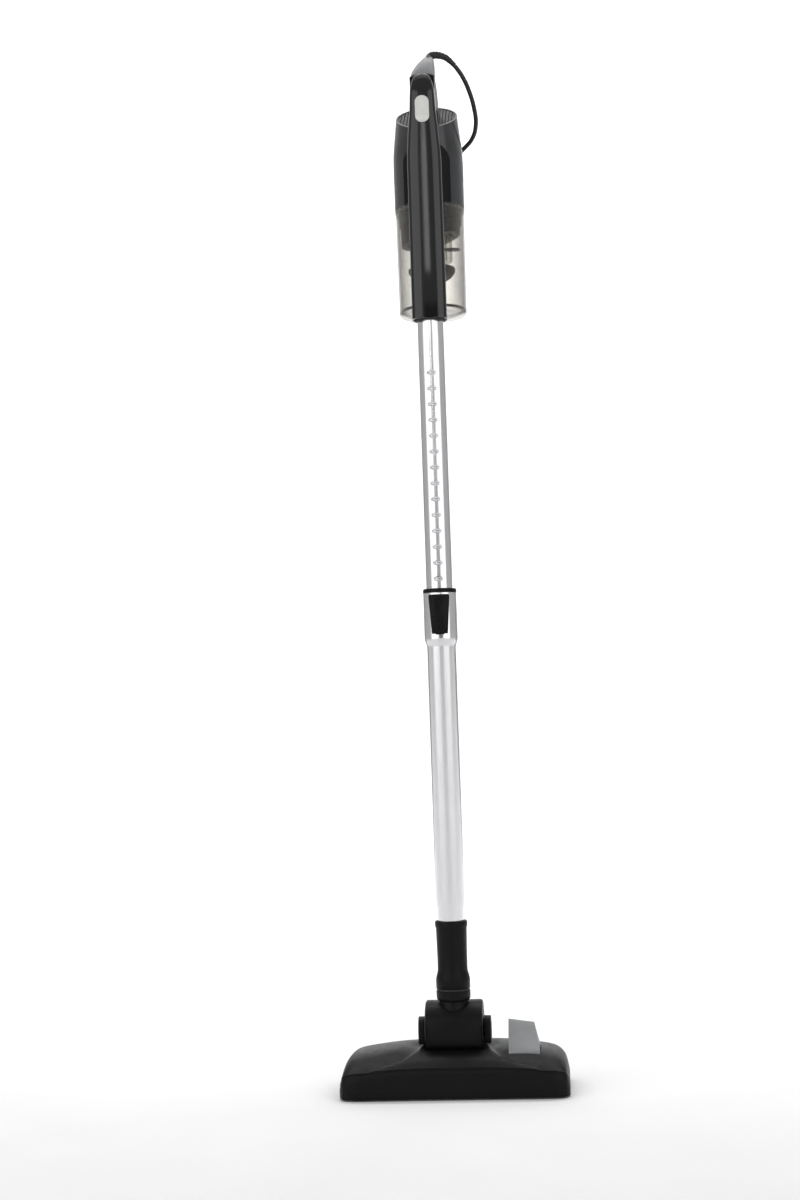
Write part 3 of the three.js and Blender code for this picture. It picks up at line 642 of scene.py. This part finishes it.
# ---------------------------------------------------------------- floor head
HEAD_FRONT = -56
HEAD_REAR = 72
COVER_BOTTOM = 2
TILT_Y = 8
TILT_Z = 72
STATIONS = [
    (0, 56, 36.5, 0), (34, 55.5, 36.3, 0), (62, 54.5, 35.6, 0), (90, 51.5, 34, 0), (110, 48.5, 32, 0),
    (120, 45.5, 30.5, 1), (127, 40, 28.5, 3), (131, 33, 25, 6), (134, 20, 16, 12),
]
PEDAL = {"x0": 63.5, "x1": 100.5, "pin_y": 15, "pin_z": 50, "lean": 6.5, "tip": 4.4}


def cover_ring(x, top, crease, inset, wall):
    """The cover's cross-section: a bulged front, a fine groove at the crease, then a long slope back."""
    front = HEAD_FRONT + inset + wall
    rear = HEAD_REAR - inset - wall
    t, c = top - wall, crease - wall
    bottom = COVER_BOTTOM - 1 if wall else COVER_BOTTOM
    rise = t - c
    bulge = spline([
        (front + 1.4, bottom), (front, c * 0.5), (front + 0.5, c * 0.8), (front + 2.4, c - 1.6),
    ], 5)
    slope = spline([
        (front + 4, c + 1), (front + 16, c + rise * 0.5), (front + 34, c + rise * 0.85), (front + 60, t),
        (rear - 28, t - 1.5), (rear - 10, t - 7), (rear - 1, t * 0.62), (rear, bottom),
    ], 6)
    groove = [(front + 3.8, c - 1.4), (front + 4.2, c - 0.2)] if not wall else []
    return [(x, y, z) for y, z in bulge + groove + slope]


def cover_stations(wall, steps):
    fine = spline(STATIONS, steps)
    fine = [(min(x, 134 - wall), *rest) for x, *rest in fine]
    return [(-x, *rest) for x, *rest in fine[:0:-1]] + fine


HOOD_EDGE = spline([(36, 4), (41, -16), (50, -33), (64, -44), (92, -52)], 6)
SCOOP = {"above": 30, "before": 30, "depth": 4.2, "lead": 6, "fade": 14}


def scoop(piece):
    """Sinks the wings beside the hood, along the line that sweeps from the ears out to the front crease."""
    edge = [Vector(p) for p in HOOD_EDGE]
    for vertex in piece.data.vertices:
        x, y, z = vertex.co / MM
        y -= WAND_Y
        if z < SCOOP["above"] or y > SCOOP["before"]:
            continue
        here = Vector((abs(x), y))
        nearest, share = None, 0
        for k in range(len(edge) - 1):
            spot, along = geometry.intersect_point_line(here, edge[k], edge[k + 1])
            spot = edge[k].lerp(edge[k + 1], min(1, max(0, along)))
            side = (edge[k + 1] - edge[k]).to_3d().cross((here - edge[k]).to_3d()).z
            if nearest is None or (here - spot).length < nearest[0]:
                nearest = ((here - spot).length, side)
                share = k / (len(edge) - 1)
        distance, side = nearest
        if side < 0:
            continue
        beyond = max(0, distance - SCOOP["lead"])
        fade = math.exp(-(beyond / SCOOP["fade"]) ** 2) * min(1, distance / SCOOP["lead"])
        taper = min(1, (1 - share) / 0.25 + 0.15)
        vertex.co.z -= SCOOP["depth"] * MM * fade * taper


def make_head():
    stations = cover_stations(0, 14)
    cover = loft("head_shell", [cover_ring(*station, 0) for station in stations])
    scoop(cover)
    inside = loft("cover_inside", [cover_ring(*station, 3) for station in cover_stations(3, 14)])
    scoop(inside)
    cut(
        cover, inside,
        turned_across("drum_room", [(0, -34.8), (34.6, -34.8), (34.6, 34.8), (0, 34.8)], TILT_Y, TILT_Z, 96),
        box("over_drum", -34.8, 34.8, -26, 43, 52, 80),
        box("pedal_room", 62.7, 101.3, -27, 24, 40, 80),
    )
    fit(cover, "floor_head", "matte_black_plastic", "head_cover", crease=28)

    pedal = prism("rocker_pedal_cover", "x", spline([
        (-24, 44), (-23.4, 48), (-20, 52.4), (-6, 65), (10, 79.2), (12.6, 79.7), (15, 79), (16.6, 70),
        (18, 60),
    ], 4) + [(14, 44)], PEDAL["x0"], PEDAL["x1"])
    hollow = prism("pedal_hollow", "x", [
        (-15, 43), (-13, 50), (8, 71), (12, 70), (12, 43)], PEDAL["x0"] + 3, PEDAL["x1"] - 3)
    pin_hole = rod("pin_hole", 1.9, (PEDAL["x0"] - 1, PEDAL["pin_y"], PEDAL["pin_z"]),
                   (PEDAL["x1"] + 1, PEDAL["pin_y"], PEDAL["pin_z"]))
    cut(pedal, hollow, pin_hole)
    for vertex in pedal.data.vertices:
        across = (vertex.co.x / MM - PEDAL["x0"]) / (PEDAL["x1"] - PEDAL["x0"])
        rise = max(0, vertex.co.z / MM - 50) / 30
        vertex.co.x -= PEDAL["lean"] * MM * across * rise
        vertex.co.z -= PEDAL["tip"] * MM * (across - 0.35) * min(1, rise * 3)
    fit(pedal, "rocker_pedal", "grey_plastic", "pedal", edge=0.7)

    for name, side in (("left", -1), ("right", 1)):
        cheek = [(y, z) for y, z in (
            (TILT_Y + 15 * math.cos(a), TILT_Z + 15 * math.sin(a))
            for a in (math.radians(6 * k) for k in range(31)))]
        cheek = cheek + [(TILT_Y - 15, 56.4), (TILT_Y + 15, 56.4)]
        inner, outer = 35, 43
        cap = prism(f"ear_{name}", "x", cheek, side * inner, side * outer)

        def on_axis(x):
            return (side * x, TILT_Y, TILT_Z)

        cut(
            cap, rod("dimple", 8.6, on_axis(outer - 1), on_axis(outer + 2), 48),
            rod("bearing", 8.3, on_axis(inner - 1), on_axis(outer - 2.6), 48),
        )
        fit(cap, "floor_head", "matte_black_plastic", f"bearing_cap_{name}", edge=0.6)

        wheel = [(2, 86), (8, 86), (8.7, 86.3), (9, 87)]
        wheel += [(9 - (0.35 if k % 2 else 0), 88 + 0.75 * k) for k in range(9)]
        wheel += [(9, 95), (8.7, 95.7), (8, 96), (6.4, 96), (6.2, 95.3), (3.4, 95.3), (3.2, 96), (2, 96)]
        fit(turned_across(f"wheel_{name}", [(r, side * x) for r, x in wheel], 57, 9, 64),
            f"{name}_wheel", "black_rubber", f"rear_wheel_{name}", crease=40)
        roller = [(0.3, 98), (4.2, 98), (4.8, 98.4), (5, 99), (5, 107), (4.8, 107.6), (4.2, 108), (0.3, 108)]
        fit(turned_across(f"roller_{name}", [(r, side * x) for r, x in roller], -42, 5, 48),
            f"{name}_roller", "black_rubber", f"front_roller_{name}", crease=40)


make_head()


# ---------------------------------------------------------------- neck and wand
COLLAR_R = 20.2
UPPER_R = 16
DETENT = {"first": 568.7, "pitch": 19.15, "count": 16, "half_width": 6.1, "half_height": 2.7, "depth": 1.35}


def make_neck():
    drum = turned_across("neck_housing", [
        (12, -34), (31.4, -34), (33.4, -33), (34, -31), (34, 31), (33.4, 33), (31.4, 34), (12, 34),
    ], TILT_Y, TILT_Z, 128)
    trunnion = turned_across("trunnion", [
        (0.5, -41.2), (8, -41.2), (8, 41.2), (0.5, 41.2),
    ], TILT_Y, TILT_Z, 48)
    stub = turned("stub", [(0.5, 92), (15.8, 92), (15.8, 130), (0.5, 130)])
    cut(drum, box("flat_face", -33, 33, -40, TILT_Y - 30.6, 40, 120))
    join(drum, trunnion, stub)
    cut(drum, rod("neck_bore", 13, (0, 0, 20), (0, 0, 140), 48))
    fit(drum, "neck", "matte_black_plastic", "neck_drum", edge=0.5)

    fit(turned("collar_ring", [
        (16.1, 106.6), (17.4, 106.6), (18.6, 107.4), (19.6, 108.8), (20.1, 110.6), (COLLAR_R, 112.4),
        (COLLAR_R, 118.5), (19.8, 118.9), (16.1, 118.9),
    ]), "neck", "matte_black_plastic", "swivel_collar")
    fit(turned("wand_foot", [
        (16.1, 121.1), (19.8, 121.1), (COLLAR_R, 121.5), (COLLAR_R, 131.5), (20, 133.4), (19.2, 136.8),
        (18.1, 140.6), (17.7, 143.6), (17.75, 160), (18.35, 191), (18.7, 193), (19.2, 194.2), (19.3, 195.2),
        (19.3, 198.6), (19.0, 199.8), (18.4, 200.5), (16.6, 200.5), (16.3, 147), (14.8, 146), (14.8, 132),
        (16.1, 131),
    ]), "swivel", "matte_black_plastic", "swivel_socket", crease=50)


def dented(piece):
    """Presses the row of lens-shaped detents into the front of the upper tube."""
    for vertex in piece.data.vertices:
        x, y, z = vertex.co / MM
        y -= WAND_Y
        if math.hypot(x, y) < UPPER_R - 0.1 or y > -10:
            continue
        index = round((z - DETENT["first"]) / DETENT["pitch"])
        if not 0 <= index < DETENT["count"]:
            continue
        across = x / DETENT["half_width"]
        along = (z - DETENT["first"] - index * DETENT["pitch"]) / DETENT["half_height"]
        reach = 1 - across * across - along * along
        if reach > 0:
            vertex.co.y += DETENT["depth"] * MM * min(1, reach * 1.25) ** 0.6


def make_upper_tube():
    """A fine skin in front, where the detents are, and even spacing elsewhere."""
    heights = [516, 517]
    z = 560.0
    while z < 862:
        heights.append(z)
        z += 0.45
    heights += [900, 966.4]
    segments = [-116 + 1.3 * k for k in range(40)] + [-64 + 5.13 * k for k in range(60)]
    outer = [(UPPER_R - 0.5, heights[0])] + [(UPPER_R, h) for h in heights[1:]] + [(UPPER_R - 0.5, 967)]
    profile = outer + [(14.4, 967), (14.4, 516)]
    rings = [
        [(r * math.cos(math.radians(a)), r * math.sin(math.radians(a)), h) for r, h in profile]
        for a in segments
    ]
    tube = loft("telescope_tube", rings, closed=True)
    dented(tube)
    fit(tube, "upper_wand", "wand_metal", "upper_tube", crease=40)


def make_wand():
    make_upper_tube()
    tube = turned("main_tube", [
        (15.9, 150), (15.9, 213), (16.3, 215.4), (17.2, 220.4), (17.5, 223), (17.5, 526), (18.3, 529),
        (19.5, 532.6), (COLLAR_R, 536), (COLLAR_R, 589.6), (19.8, 590.5), (19, 590.5), (19, 538),
        (16.3, 528), (16.3, 226), (14.6, 215), (14.6, 150),
    ], segments=128)
    cut(tube, box("window", -5.2, 5.2, -30, 0, 540, 580))
    fit(tube, "lower_wand", "wand_metal", "lower_tube", crease=40)

    guide = turned("collar_guide", [
        (16.3, 540), (18.7, 540), (18.7, 590.8), (COLLAR_R, 590.8), (COLLAR_R, 594.2), (20, 594.9),
        (19.4, 595.6), (16.3, 595.6),
    ], segments=96)
    cut(guide, box("guide_window", -5.2, 5.2, -30, 0, 551, 580))
    fit(guide, "lower_wand", "matte_black_plastic", "lock_guide", crease=40)

    face = prism("button_face", "y", [
        (-9.5, 541), (9.5, 541), (12.5, 585), (12.2, 587), (11.2, 588),
        (-11.2, 588), (-12.2, 587), (-12.5, 585),
    ], -30, -10)
    slider = turned("wand_release", [
        (22, 541), (23.4, 541), (24, 542), (24, 587), (23.4, 588), (22, 588)], segments=160)
    combine(slider, "INTERSECT", [face])
    thumb = loft("thumb_dish", [
        [(x, y, z) for x, z in rounded(-half, half, 572 - tall, 572 + tall, half * 0.9, 10)]
        for y, half, tall in ((-26, 8.2, 12.4), (-23.6, 7.4, 11.2), (-22.5, 5.4, 8.2))
    ])
    cut(slider, thumb)
    ridges = [box(f"ridge_{k}", -6.2, 6.2, -25, -23.55, 545 + 3.0 * k, 546.3 + 3.0 * k) for k in range(4)]
    cut(slider, *ridges)
    join(slider, box("lock_finger", -4.4, 4.4, -22.4, -19.2, 557, 563))
    fit(slider, "wand_button", "matte_black_plastic", "release_button", edge=0.25)

    make_lock_spring()


def make_lock_spring():
    """The button's return spring, a fixed steel coil."""
    turns, low, high, middle = 4, 541.6, 555.6, -20.2
    steps = 30
    coil = []
    for k in range(steps * turns + 1):
        angle = 2 * math.pi * k / steps
        coil.append((math.cos(angle), middle + math.sin(angle), low + (high - low) * k / (steps * turns)))
    spring = swept("return_spring", coil, lambda share: 0.25, 10)
    fit(spring, "lower_wand", "steel", "lock_spring", crease=60)
    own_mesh(spring)


make_neck()
make_wand()


# ---------------------------------------------------------------- handle
SPINE = [
    (922, 21, 21, 20.4), (1000, 21, 21, 20.4), (1072, 20.9, 21, 20.4), (1082, 20.9, 21, 8),
    (1092, 20.8, 21, 1), (1120, 20.7, 21, -1), (1147, 19, 20.6, -1), (1165, 17.4, 20.2, 0),
    (1178, 16.2, 19.8, 6), (1197, 15.3, 19, 12), (1206, 14.6, 18, 12), (1213, 13.2, 16.2, 11.6),
    (1218.5, 11, 14, 10.6), (1222.5, 8.2, 11.4, 9), (1225, 5, 9, 7.4), (1226, 2.6, 7.4, 6),
]
SPINE_MIDDLE = -10
END_FRONT_Y, END_FRONT_Z, END_SLOPE = 25, 1169, 0.658
GRIP_SPLIT = -9


def end_at(y):
    """Height of the motor unit's slanted end at that depth."""
    return END_FRONT_Z + (y - END_FRONT_Y) * END_SLOPE


def spine_ring(level, wall, points):
    z, half, front, behind = level
    middle = max(SPINE_MIDDLE, -front + 2)
    ring = []
    for k in range(points):
        angle = 2 * math.pi * k / points
        c, s = math.cos(angle), math.sin(angle)
        squarer = 0.72 if s < 0 else 0.86
        depth = front + middle if s < 0 else behind - middle
        ring.append((
            math.copysign(abs(c) ** squarer, c) * (half - wall),
            middle + math.copysign(abs(s) ** squarer, s) * max(1, depth - wall), z))
    return ring


def spine(name, wall=0.0):
    levels = []
    for k in range(len(SPINE) - 1):
        steps = 3 if k < 2 else 5
        levels += [SPINE[k]] if k < 2 else spline(SPINE, steps)[k * steps:(k + 1) * steps]
    levels.append(SPINE[-1])
    if wall:
        levels = [(z - 1 if z == 922 else z - 1.1, *rest) for z, *rest in levels if z < 1219]
    return loft(name, [spine_ring(level, wall, 96) for level in levels])


def make_handle():
    front = spine("grip_front")
    cut(front, spine("room", 2.2), box("rear_half", -60, 60, GRIP_SPLIT, 140, 900, 1300))
    fit(front, "handheld", "gloss_black_plastic", "spine_front_shell", edge=0.35)

    rear = spine("grip_rear")
    outline = [
        (-6, 1189), (24, 1189), (38, end_at(38) + 2), (74, end_at(74) + 0.6), (73.4, 1206), (71, 1212),
        (62, 1219), (54, 1223), (46, 1225.2), (36, 1225.8), (10, 1226), (-6, 1223),
    ]
    join(rear, prism("bridge", "x", outline, -15, 15))
    hollow = [(-2, 1192), (25, 1192), (39, end_at(39) + 6), (68, 1207), (60, 1215), (45, 1222), (4, 1223)]
    cut(
        rear, spine("room", 2.2), prism("bridge_room", "x", hollow, -12.5, 12.5),
        box("front_half", -60, 60, -60, GRIP_SPLIT + 0.3, 900, 1300),
        rod("duct_hole", 11.6, (0, 0, 990), (0, 60, 990), 48),
    )
    fit(rear, "handheld", "matte_black_plastic", "handle_rear_shell", edge=0.9)

    fit(turned("wand_throat", [
        (16.4, 925), (17.8, 925), (17.8, 974), (13.5, 974), (13.5, 968.5), (16.4, 968.5),
    ]), "handheld", "matte_black_plastic", "wand_socket")
    fit(turned("throat_seal", [
        (16.4, 920.6), (16.9, 920.6), (17.4, 920.9), (17.8, 921.6), (17.8, 924.7), (16.4, 924.7),
    ]), "handheld", "black_rubber", "wand_seal")

    cap = spline([
        (1226.4, 0, 12, 14.2, 15.2), (1228, 0.2, 12.6, 14.9, 15.9), (1236, 1.5, 17, 13.6, 15.5),
        (1246, 4, 23, 10.6, 13), (1253, 5.9, 28.4, 7.8, 9.9), (1256.6, 6.5, 30.6, 6, 7.8),
        (1257.5, 6.6, 31, 5, 6.6),
    ], 5)
    hood = loft("grip_cap", [
        [(x, y, z) for x, y in rounded(cx - hx, cx + hx, cy - hy, cy + hy, min(hx, hy) * 0.78, 10)]
        for z, cx, cy, hx, hy in cap])
    fit(hood, "handheld", "pale_grey_plastic", "end_cap", crease=50)

    line = spline([
        (10.6, 6, 1229), (9.4, 13, 1240), (7.6, 22.5, 1250.6), (7.4, 29.5, 1257.6), (11, 32.4, 1261.6),
        (19, 33.8, 1262), (29, 35.5, 1258.4), (39, 37.6, 1249),
    ], 14)

    def sleeve(share):
        """Slim where it lies in the cap, thickest over the bend, then ribbed and tapering."""
        rib = 0.6 if 0.55 < share < 0.93 and (share * 36) % 2 < 1 else 0.0
        return 3 + 1.5 * math.sin(math.pi * min(1, share * 1.05)) ** 0.7 + rib * (1.2 - share)

    fit(swept("cord_guard", line, sleeve, 32), "handheld", "black_rubber", "strain_relief", crease=50)


def make_switch():
    face = rounded(-8.5, 8.5, 1161, 1194, 8.4, 14)
    middle_z = 1177.5

    def ring(y, inset):
        return [(x * (1 - inset / 8.5), y, middle_z + (z - middle_z) * (1 - inset / 16.5)) for x, z in face]

    button = loft("power_button", [ring(-20.3, 0), ring(-22.2, 0), ring(-22.65, 0.35), ring(-22.8, 1.1)])
    crescent = turned_across("crescent", [(0, -9), (17, -9), (17, 9), (0, 9)], -38.2, 1165.5, 96)
    cut(button, crescent)
    fit(button, "switch", "white_plastic", "switch_button", crease=40)


make_handle()
make_switch()


# ---------------------------------------------------------------- motor unit
CAN_Y = 65
HOUSING_R = 43.8
HOUSING_LOW = 1075
SHOULDER = 1145
GRILLE = {"slots": 17, "pitch": 4, "r": 36}


def housing_radius(z):
    return HOUSING_R - max(0, z - SHOULDER) * 0.105


def end_room(name, lift):
    """Everything above the slanted end, raised by lift."""
    return prism(name, "x", [
        (0, end_at(0) + lift), (140, end_at(140) + lift), (140, 1400), (0, 1400)], -60, 60)


def below_end(name, drop):
    """Everything below the slanted end, lowered by drop."""
    return prism(name, "x", [
        (0, end_at(0) - drop), (140, end_at(140) - drop), (140, 1000), (0, 1000)], -60, 60)


def drum_of(name, inset, low, segments=160):
    return turned(name, [
        (0.3, low), (HOUSING_R - 0.8 - inset, low), (HOUSING_R - inset, low + 0.8), (HOUSING_R - inset, 1138),
        (HOUSING_R - 0.1 - inset, 1145), (housing_radius(1160) - inset, 1160),
        (housing_radius(1230) - inset, 1230), (0.3, 1230),
    ], 0, CAN_Y, segments)


def make_motor_unit():
    shell = drum_of("motor_shell", 0, HOUSING_LOW)
    vents = []
    for side in (-1, 1):
        for k in range(4):
            outline = rounded(CAN_Y - 9 + k * 5, CAN_Y - 6.5 + k * 5, 1108, 1134, 1.2, 4)
            vents.append(prism("vent", "x", outline, side * 38, side * 46))
    cut(shell, drum_of("motor_room", 2.2, HOUSING_LOW - 1), end_room("above", 0), *vents)
    fit(shell, "handheld", "gloss_grey_plastic", "motor_housing", edge=0.45)

    plate = drum_of("outlet_grille", 2.5, 1110, 128)
    cut(plate, end_room("above", -1), below_end("below", 4))
    slots = []
    for k in range(GRILLE["slots"]):
        x = (k - (GRILLE["slots"] - 1) / 2) * GRILLE["pitch"]
        half = math.sqrt(GRILLE["r"] ** 2 - x ** 2)
        outline = rounded(x - 0.45, x + 0.45, CAN_Y - half, CAN_Y + half, 0.42, 4)
        slots.append(prism("slot", "z", outline, 1120, 1300))
    cut(plate, *slots)
    dark_grey = moulded("dark_grey", tone(48, 49, 50), 0.55, relief=0.00004, worn=1.1, Specular_IOR_Level=0.3)
    fit(plate, "handheld", "grey_plastic", "exhaust_grille", edge=0.2, finish=dark_grey)

    # A thin matte black sheet with an arched top, laid just outside the front of the glossy housing: a
    # painted reflection of the dark spine.
    rings = []
    for k in range(61):
        x = -29 + 58 * k / 60
        top = 1126 + 0.9 * math.sqrt(max(0, 29.4 ** 2 - x * x))
        ring = []
        for r, z in ((43.9, HOUSING_LOW + 0.4), (44.5, HOUSING_LOW + 0.9), (44.5, top - 0.6), (43.9, top)):
            ring.append((x, CAN_Y - math.sqrt(r * r - x * x), z))
        rings.append(ring)
    fit(loft("painted_spine_reflection", rings), "handheld", "matte_black_plastic")


# ---------------------------------------------------------------- dust cup
def make_cup():
    glass = turned("dust_bin", [
        (42, 947), (42.15, 966), (42.85, 1054), (43, 1073.2), (42.7, 1074), (41.3, 1074), (41, 1073.2),
        (40.85, 1054), (40.15, 966), (40, 947),
    ], 0, CAN_Y, 160)
    cut(glass, rod("inlet_hole", 11.6, (0, 18, 990), (0, 32, 990), 48))
    fit(glass, "cup", "smoky_clear", "dust_cup", crease=40)
    fit(turned("bin_rim", [
        (43.05, 1070.6), (43.5, 1070.9), (43.7, 1071.6), (43.7, 1073.9), (43.4, 1074.5), (43.05, 1074.5),
    ], 0, CAN_Y, 160), "cup", "smoky_clear", crease=50)

    ribs = []
    for k in (2, 1, 0):
        z = 1070.7 - 3 - k * 5
        ribs += [(37, z - 2.8), (38.8, z - 2.4), (39, z - 2), (39, z - 0.8), (38.8, z - 0.4), (37, z)]
    separator = turned("ribbed_separator", [
        (28, 1022), (36.4, 1022), *ribs, (38.4, 1070.7), (28, 1070.7)], 0, CAN_Y, 128)
    slant = prism("slant", "y", [(-60, 945), (60, 969), (60, 1049), (-60, 1025)], 0, 140)
    cut(separator, slant)
    fit(separator, "cup", "matte_black_plastic", "separator_body", edge=0.3)

    fit(turned("clear_core", [
        (20, 1009), (24, 1009), (25.4, 1009.6), (26.4, 1011), (26.6, 1012.4), (26.6, 1047), (20, 1047),
    ], 0, CAN_Y, 96), "cup", "smoky_clear", "core_tube", crease=50)
    fit(turned("dust_deflector", [
        (0.3, 984), (12, 984), (18, 986), (24, 989.6), (28, 994.6), (29.2, 997), (29.4, 998.4),
        (29.2, 1000.4), (28, 1001.6), (22, 1003.2), (18, 1005), (16.4, 1007), (15.6, 1008.4), (0.3, 1008.4),
    ], 0, CAN_Y, 96), "cup", "black_rubber", "deflector", crease=50)

    rings = []
    for k in range(33):
        share = k / 32
        angle = math.radians(-60 + 120 * share)
        width = 0.8 + 8.2 * math.sin(math.pi * share) ** 0.8
        z = 1018 + 12 * share
        rim = 27 + width
        rings.append([
            (r * math.cos(angle), CAN_Y + r * math.sin(angle), h)
            for r, h in ((27, z), (rim, z - 0.8), (rim + 0.3, z + 0.3), (rim, z + 1.4), (27, z + 2.4))])
    fit(loft("guide_vane", rings), "cup", "black_rubber", "spiral_vane", crease=50)

    lid = turned("bin_lid", [
        (0.3, 940), (34, 940), (37, 940.3), (39.4, 941.2), (41.2, 942.8), (42, 944.6), (42, 946), (39, 946),
        (36, 944.4), (34, 943), (0.3, 943),
    ], 0, CAN_Y, 128)
    hinge_y, hinge_z = 24.8, 937.6
    join(
        lid, rod("barrel", 2.4, (-11, hinge_y, hinge_z), (11, hinge_y, hinge_z)),
        box("web", -11, 11, hinge_y, 32.8, 937, 943),
    )
    cut(lid, rod("pin_bore", 1.5, (-12, hinge_y, hinge_z), (12, hinge_y, hinge_z)))
    fit(lid, "bottom_lid", "smoky_clear", "cup_lid", crease=40)

    latch = prism("bin_latch", "x", [
        (107.8, 949), (109.4, 951), (109.8, 964), (112, 964), (112.6, 957), (112.6, 950), (112.2, 943),
        (111.4, 936.6), (105, 936.6), (105, 939.4), (107.8, 939.4),
    ], -7, 7)
    fit(latch, "latch", "matte_black_plastic", "lid_latch", edge=0.5)


make_motor_unit()
make_cup()


# ---------------------------------------------------------------- CAD nodes that keep their own shape
def keep_cad_nodes():
    """Each CAD node that nothing replaces gets its slot's procedural finish."""
    for part in frame["record"]["subparts"]:
        node = frame["nodes"][part["node"]]
        if node.hide_render:
            continue
        for material_slot in node.material_slots:
            material_slot.material = FINISHES[part["material_slot"]]


keep_cad_nodes()


# ---------------------------------------------------------------- studio
def make_stage():
    """A pale floor that curves up into a backdrop far behind."""
    profile = [(-7, 0)] + [(2.6 + 1.4 * math.sin(a), 1.4 - 1.4 * math.cos(a))
                             for a in (math.radians(6 * k) for k in range(16))] + [(4.0, 4.6)]
    points = [(x, y, z) for x in (-7, 7) for y, z in profile]
    count = len(profile)
    faces = [(k, k + 1, count + k + 1, count + k) for k in range(count - 1)]
    mesh = bpy.data.meshes.new("studio_floor")
    mesh.from_pydata(points, [], faces)
    floor = bpy.data.objects.new("studio_floor", mesh)
    bpy.context.scene.collection.objects.link(floor)
    mesh.shade_smooth()
    finish = Finish("studio_paper")
    finish.colour(finish.ramp(
        finish.pattern(3, 2), (0.3, (0.80, 0.80, 0.80, 1)), (0.7, (0.84, 0.84, 0.84, 1))))
    finish.set(Roughness=0.9)
    mesh.materials.append(finish.done())


def card(name, left, right, y, low, high, share):
    """An upright studio card that only mirrors in the piece: it puts a darker line in bright metal."""
    mesh = bpy.data.meshes.new(name)
    mesh.from_pydata([(left, y, low), (right, y, low), (right, y, high), (left, y, high)], [], [(0, 1, 2, 3)])
    flag = bpy.data.objects.new(name, mesh)
    bpy.context.scene.collection.objects.link(flag)
    flag.visible_camera = False
    flag.visible_shadow = False
    flag.visible_diffuse = False
    finish = Finish(name)
    grey = (share, share, share, 1)
    finish.colour(finish.ramp(finish.pattern(3, 2), (0.3, grey), (0.7, shaded(grey, 1.1))))
    finish.set(Roughness=0.9)
    mesh.materials.append(finish.done())


def lamp(name, where, target, size, power, tall=None):
    data = bpy.data.lights.new(name, "AREA")
    data.energy = power
    data.size = size
    if tall:
        data.shape = "RECTANGLE"
        data.size_y = tall
    light = bpy.data.objects.new(name, data)
    bpy.context.scene.collection.objects.link(light)
    light.location = where
    light.rotation_mode = "QUATERNION"
    light.rotation_quaternion = (Vector(target) - Vector(where)).to_track_quat("-Z", "Y")
    light.visible_camera = False


def make_light():
    """Two broad side panels, a high one and a narrow strip over the camera, in an even pale room."""
    world = bpy.data.worlds.new("studio")
    bpy.context.scene.world = world
    world.use_nodes = True
    world.node_tree.nodes["Background"].inputs["Color"].default_value = (1, 1, 1, 1)
    world.node_tree.nodes["Background"].inputs["Strength"].default_value = 0.47
    lamp("left_panel", (-1.62, -1.95, 1.3), (0, 0, 1.0), 2.5, 25, 2.6)
    lamp("right_panel", (1.72, -1.9, 1.3), (0, 0, 1.0), 2.3, 22, 2.6)
    lamp("overhead", (0, 0.4, 3.2), (0, 0.4, 0), 2.4, 11)
    lamp("backdrop", (0, 1.2, 3.4), (0, 4.0, 1.0), 6.0, 190, 1.5)
    lamp("strip", (-0.14, -2.7, 1.79), (0, 0, 1.1), 0.2, 1.8, 0.9)


make_stage()
card("front_card", -0.45, 0.75, -2.75, 0.02, 0.72, 0.14)
card("left_card", -2.8, -0.75, 1.7, 0.02, 3, 0.3)
card("right_card", 0.75, 2.8, 1.7, 0.02, 3, 0.3)
make_light()
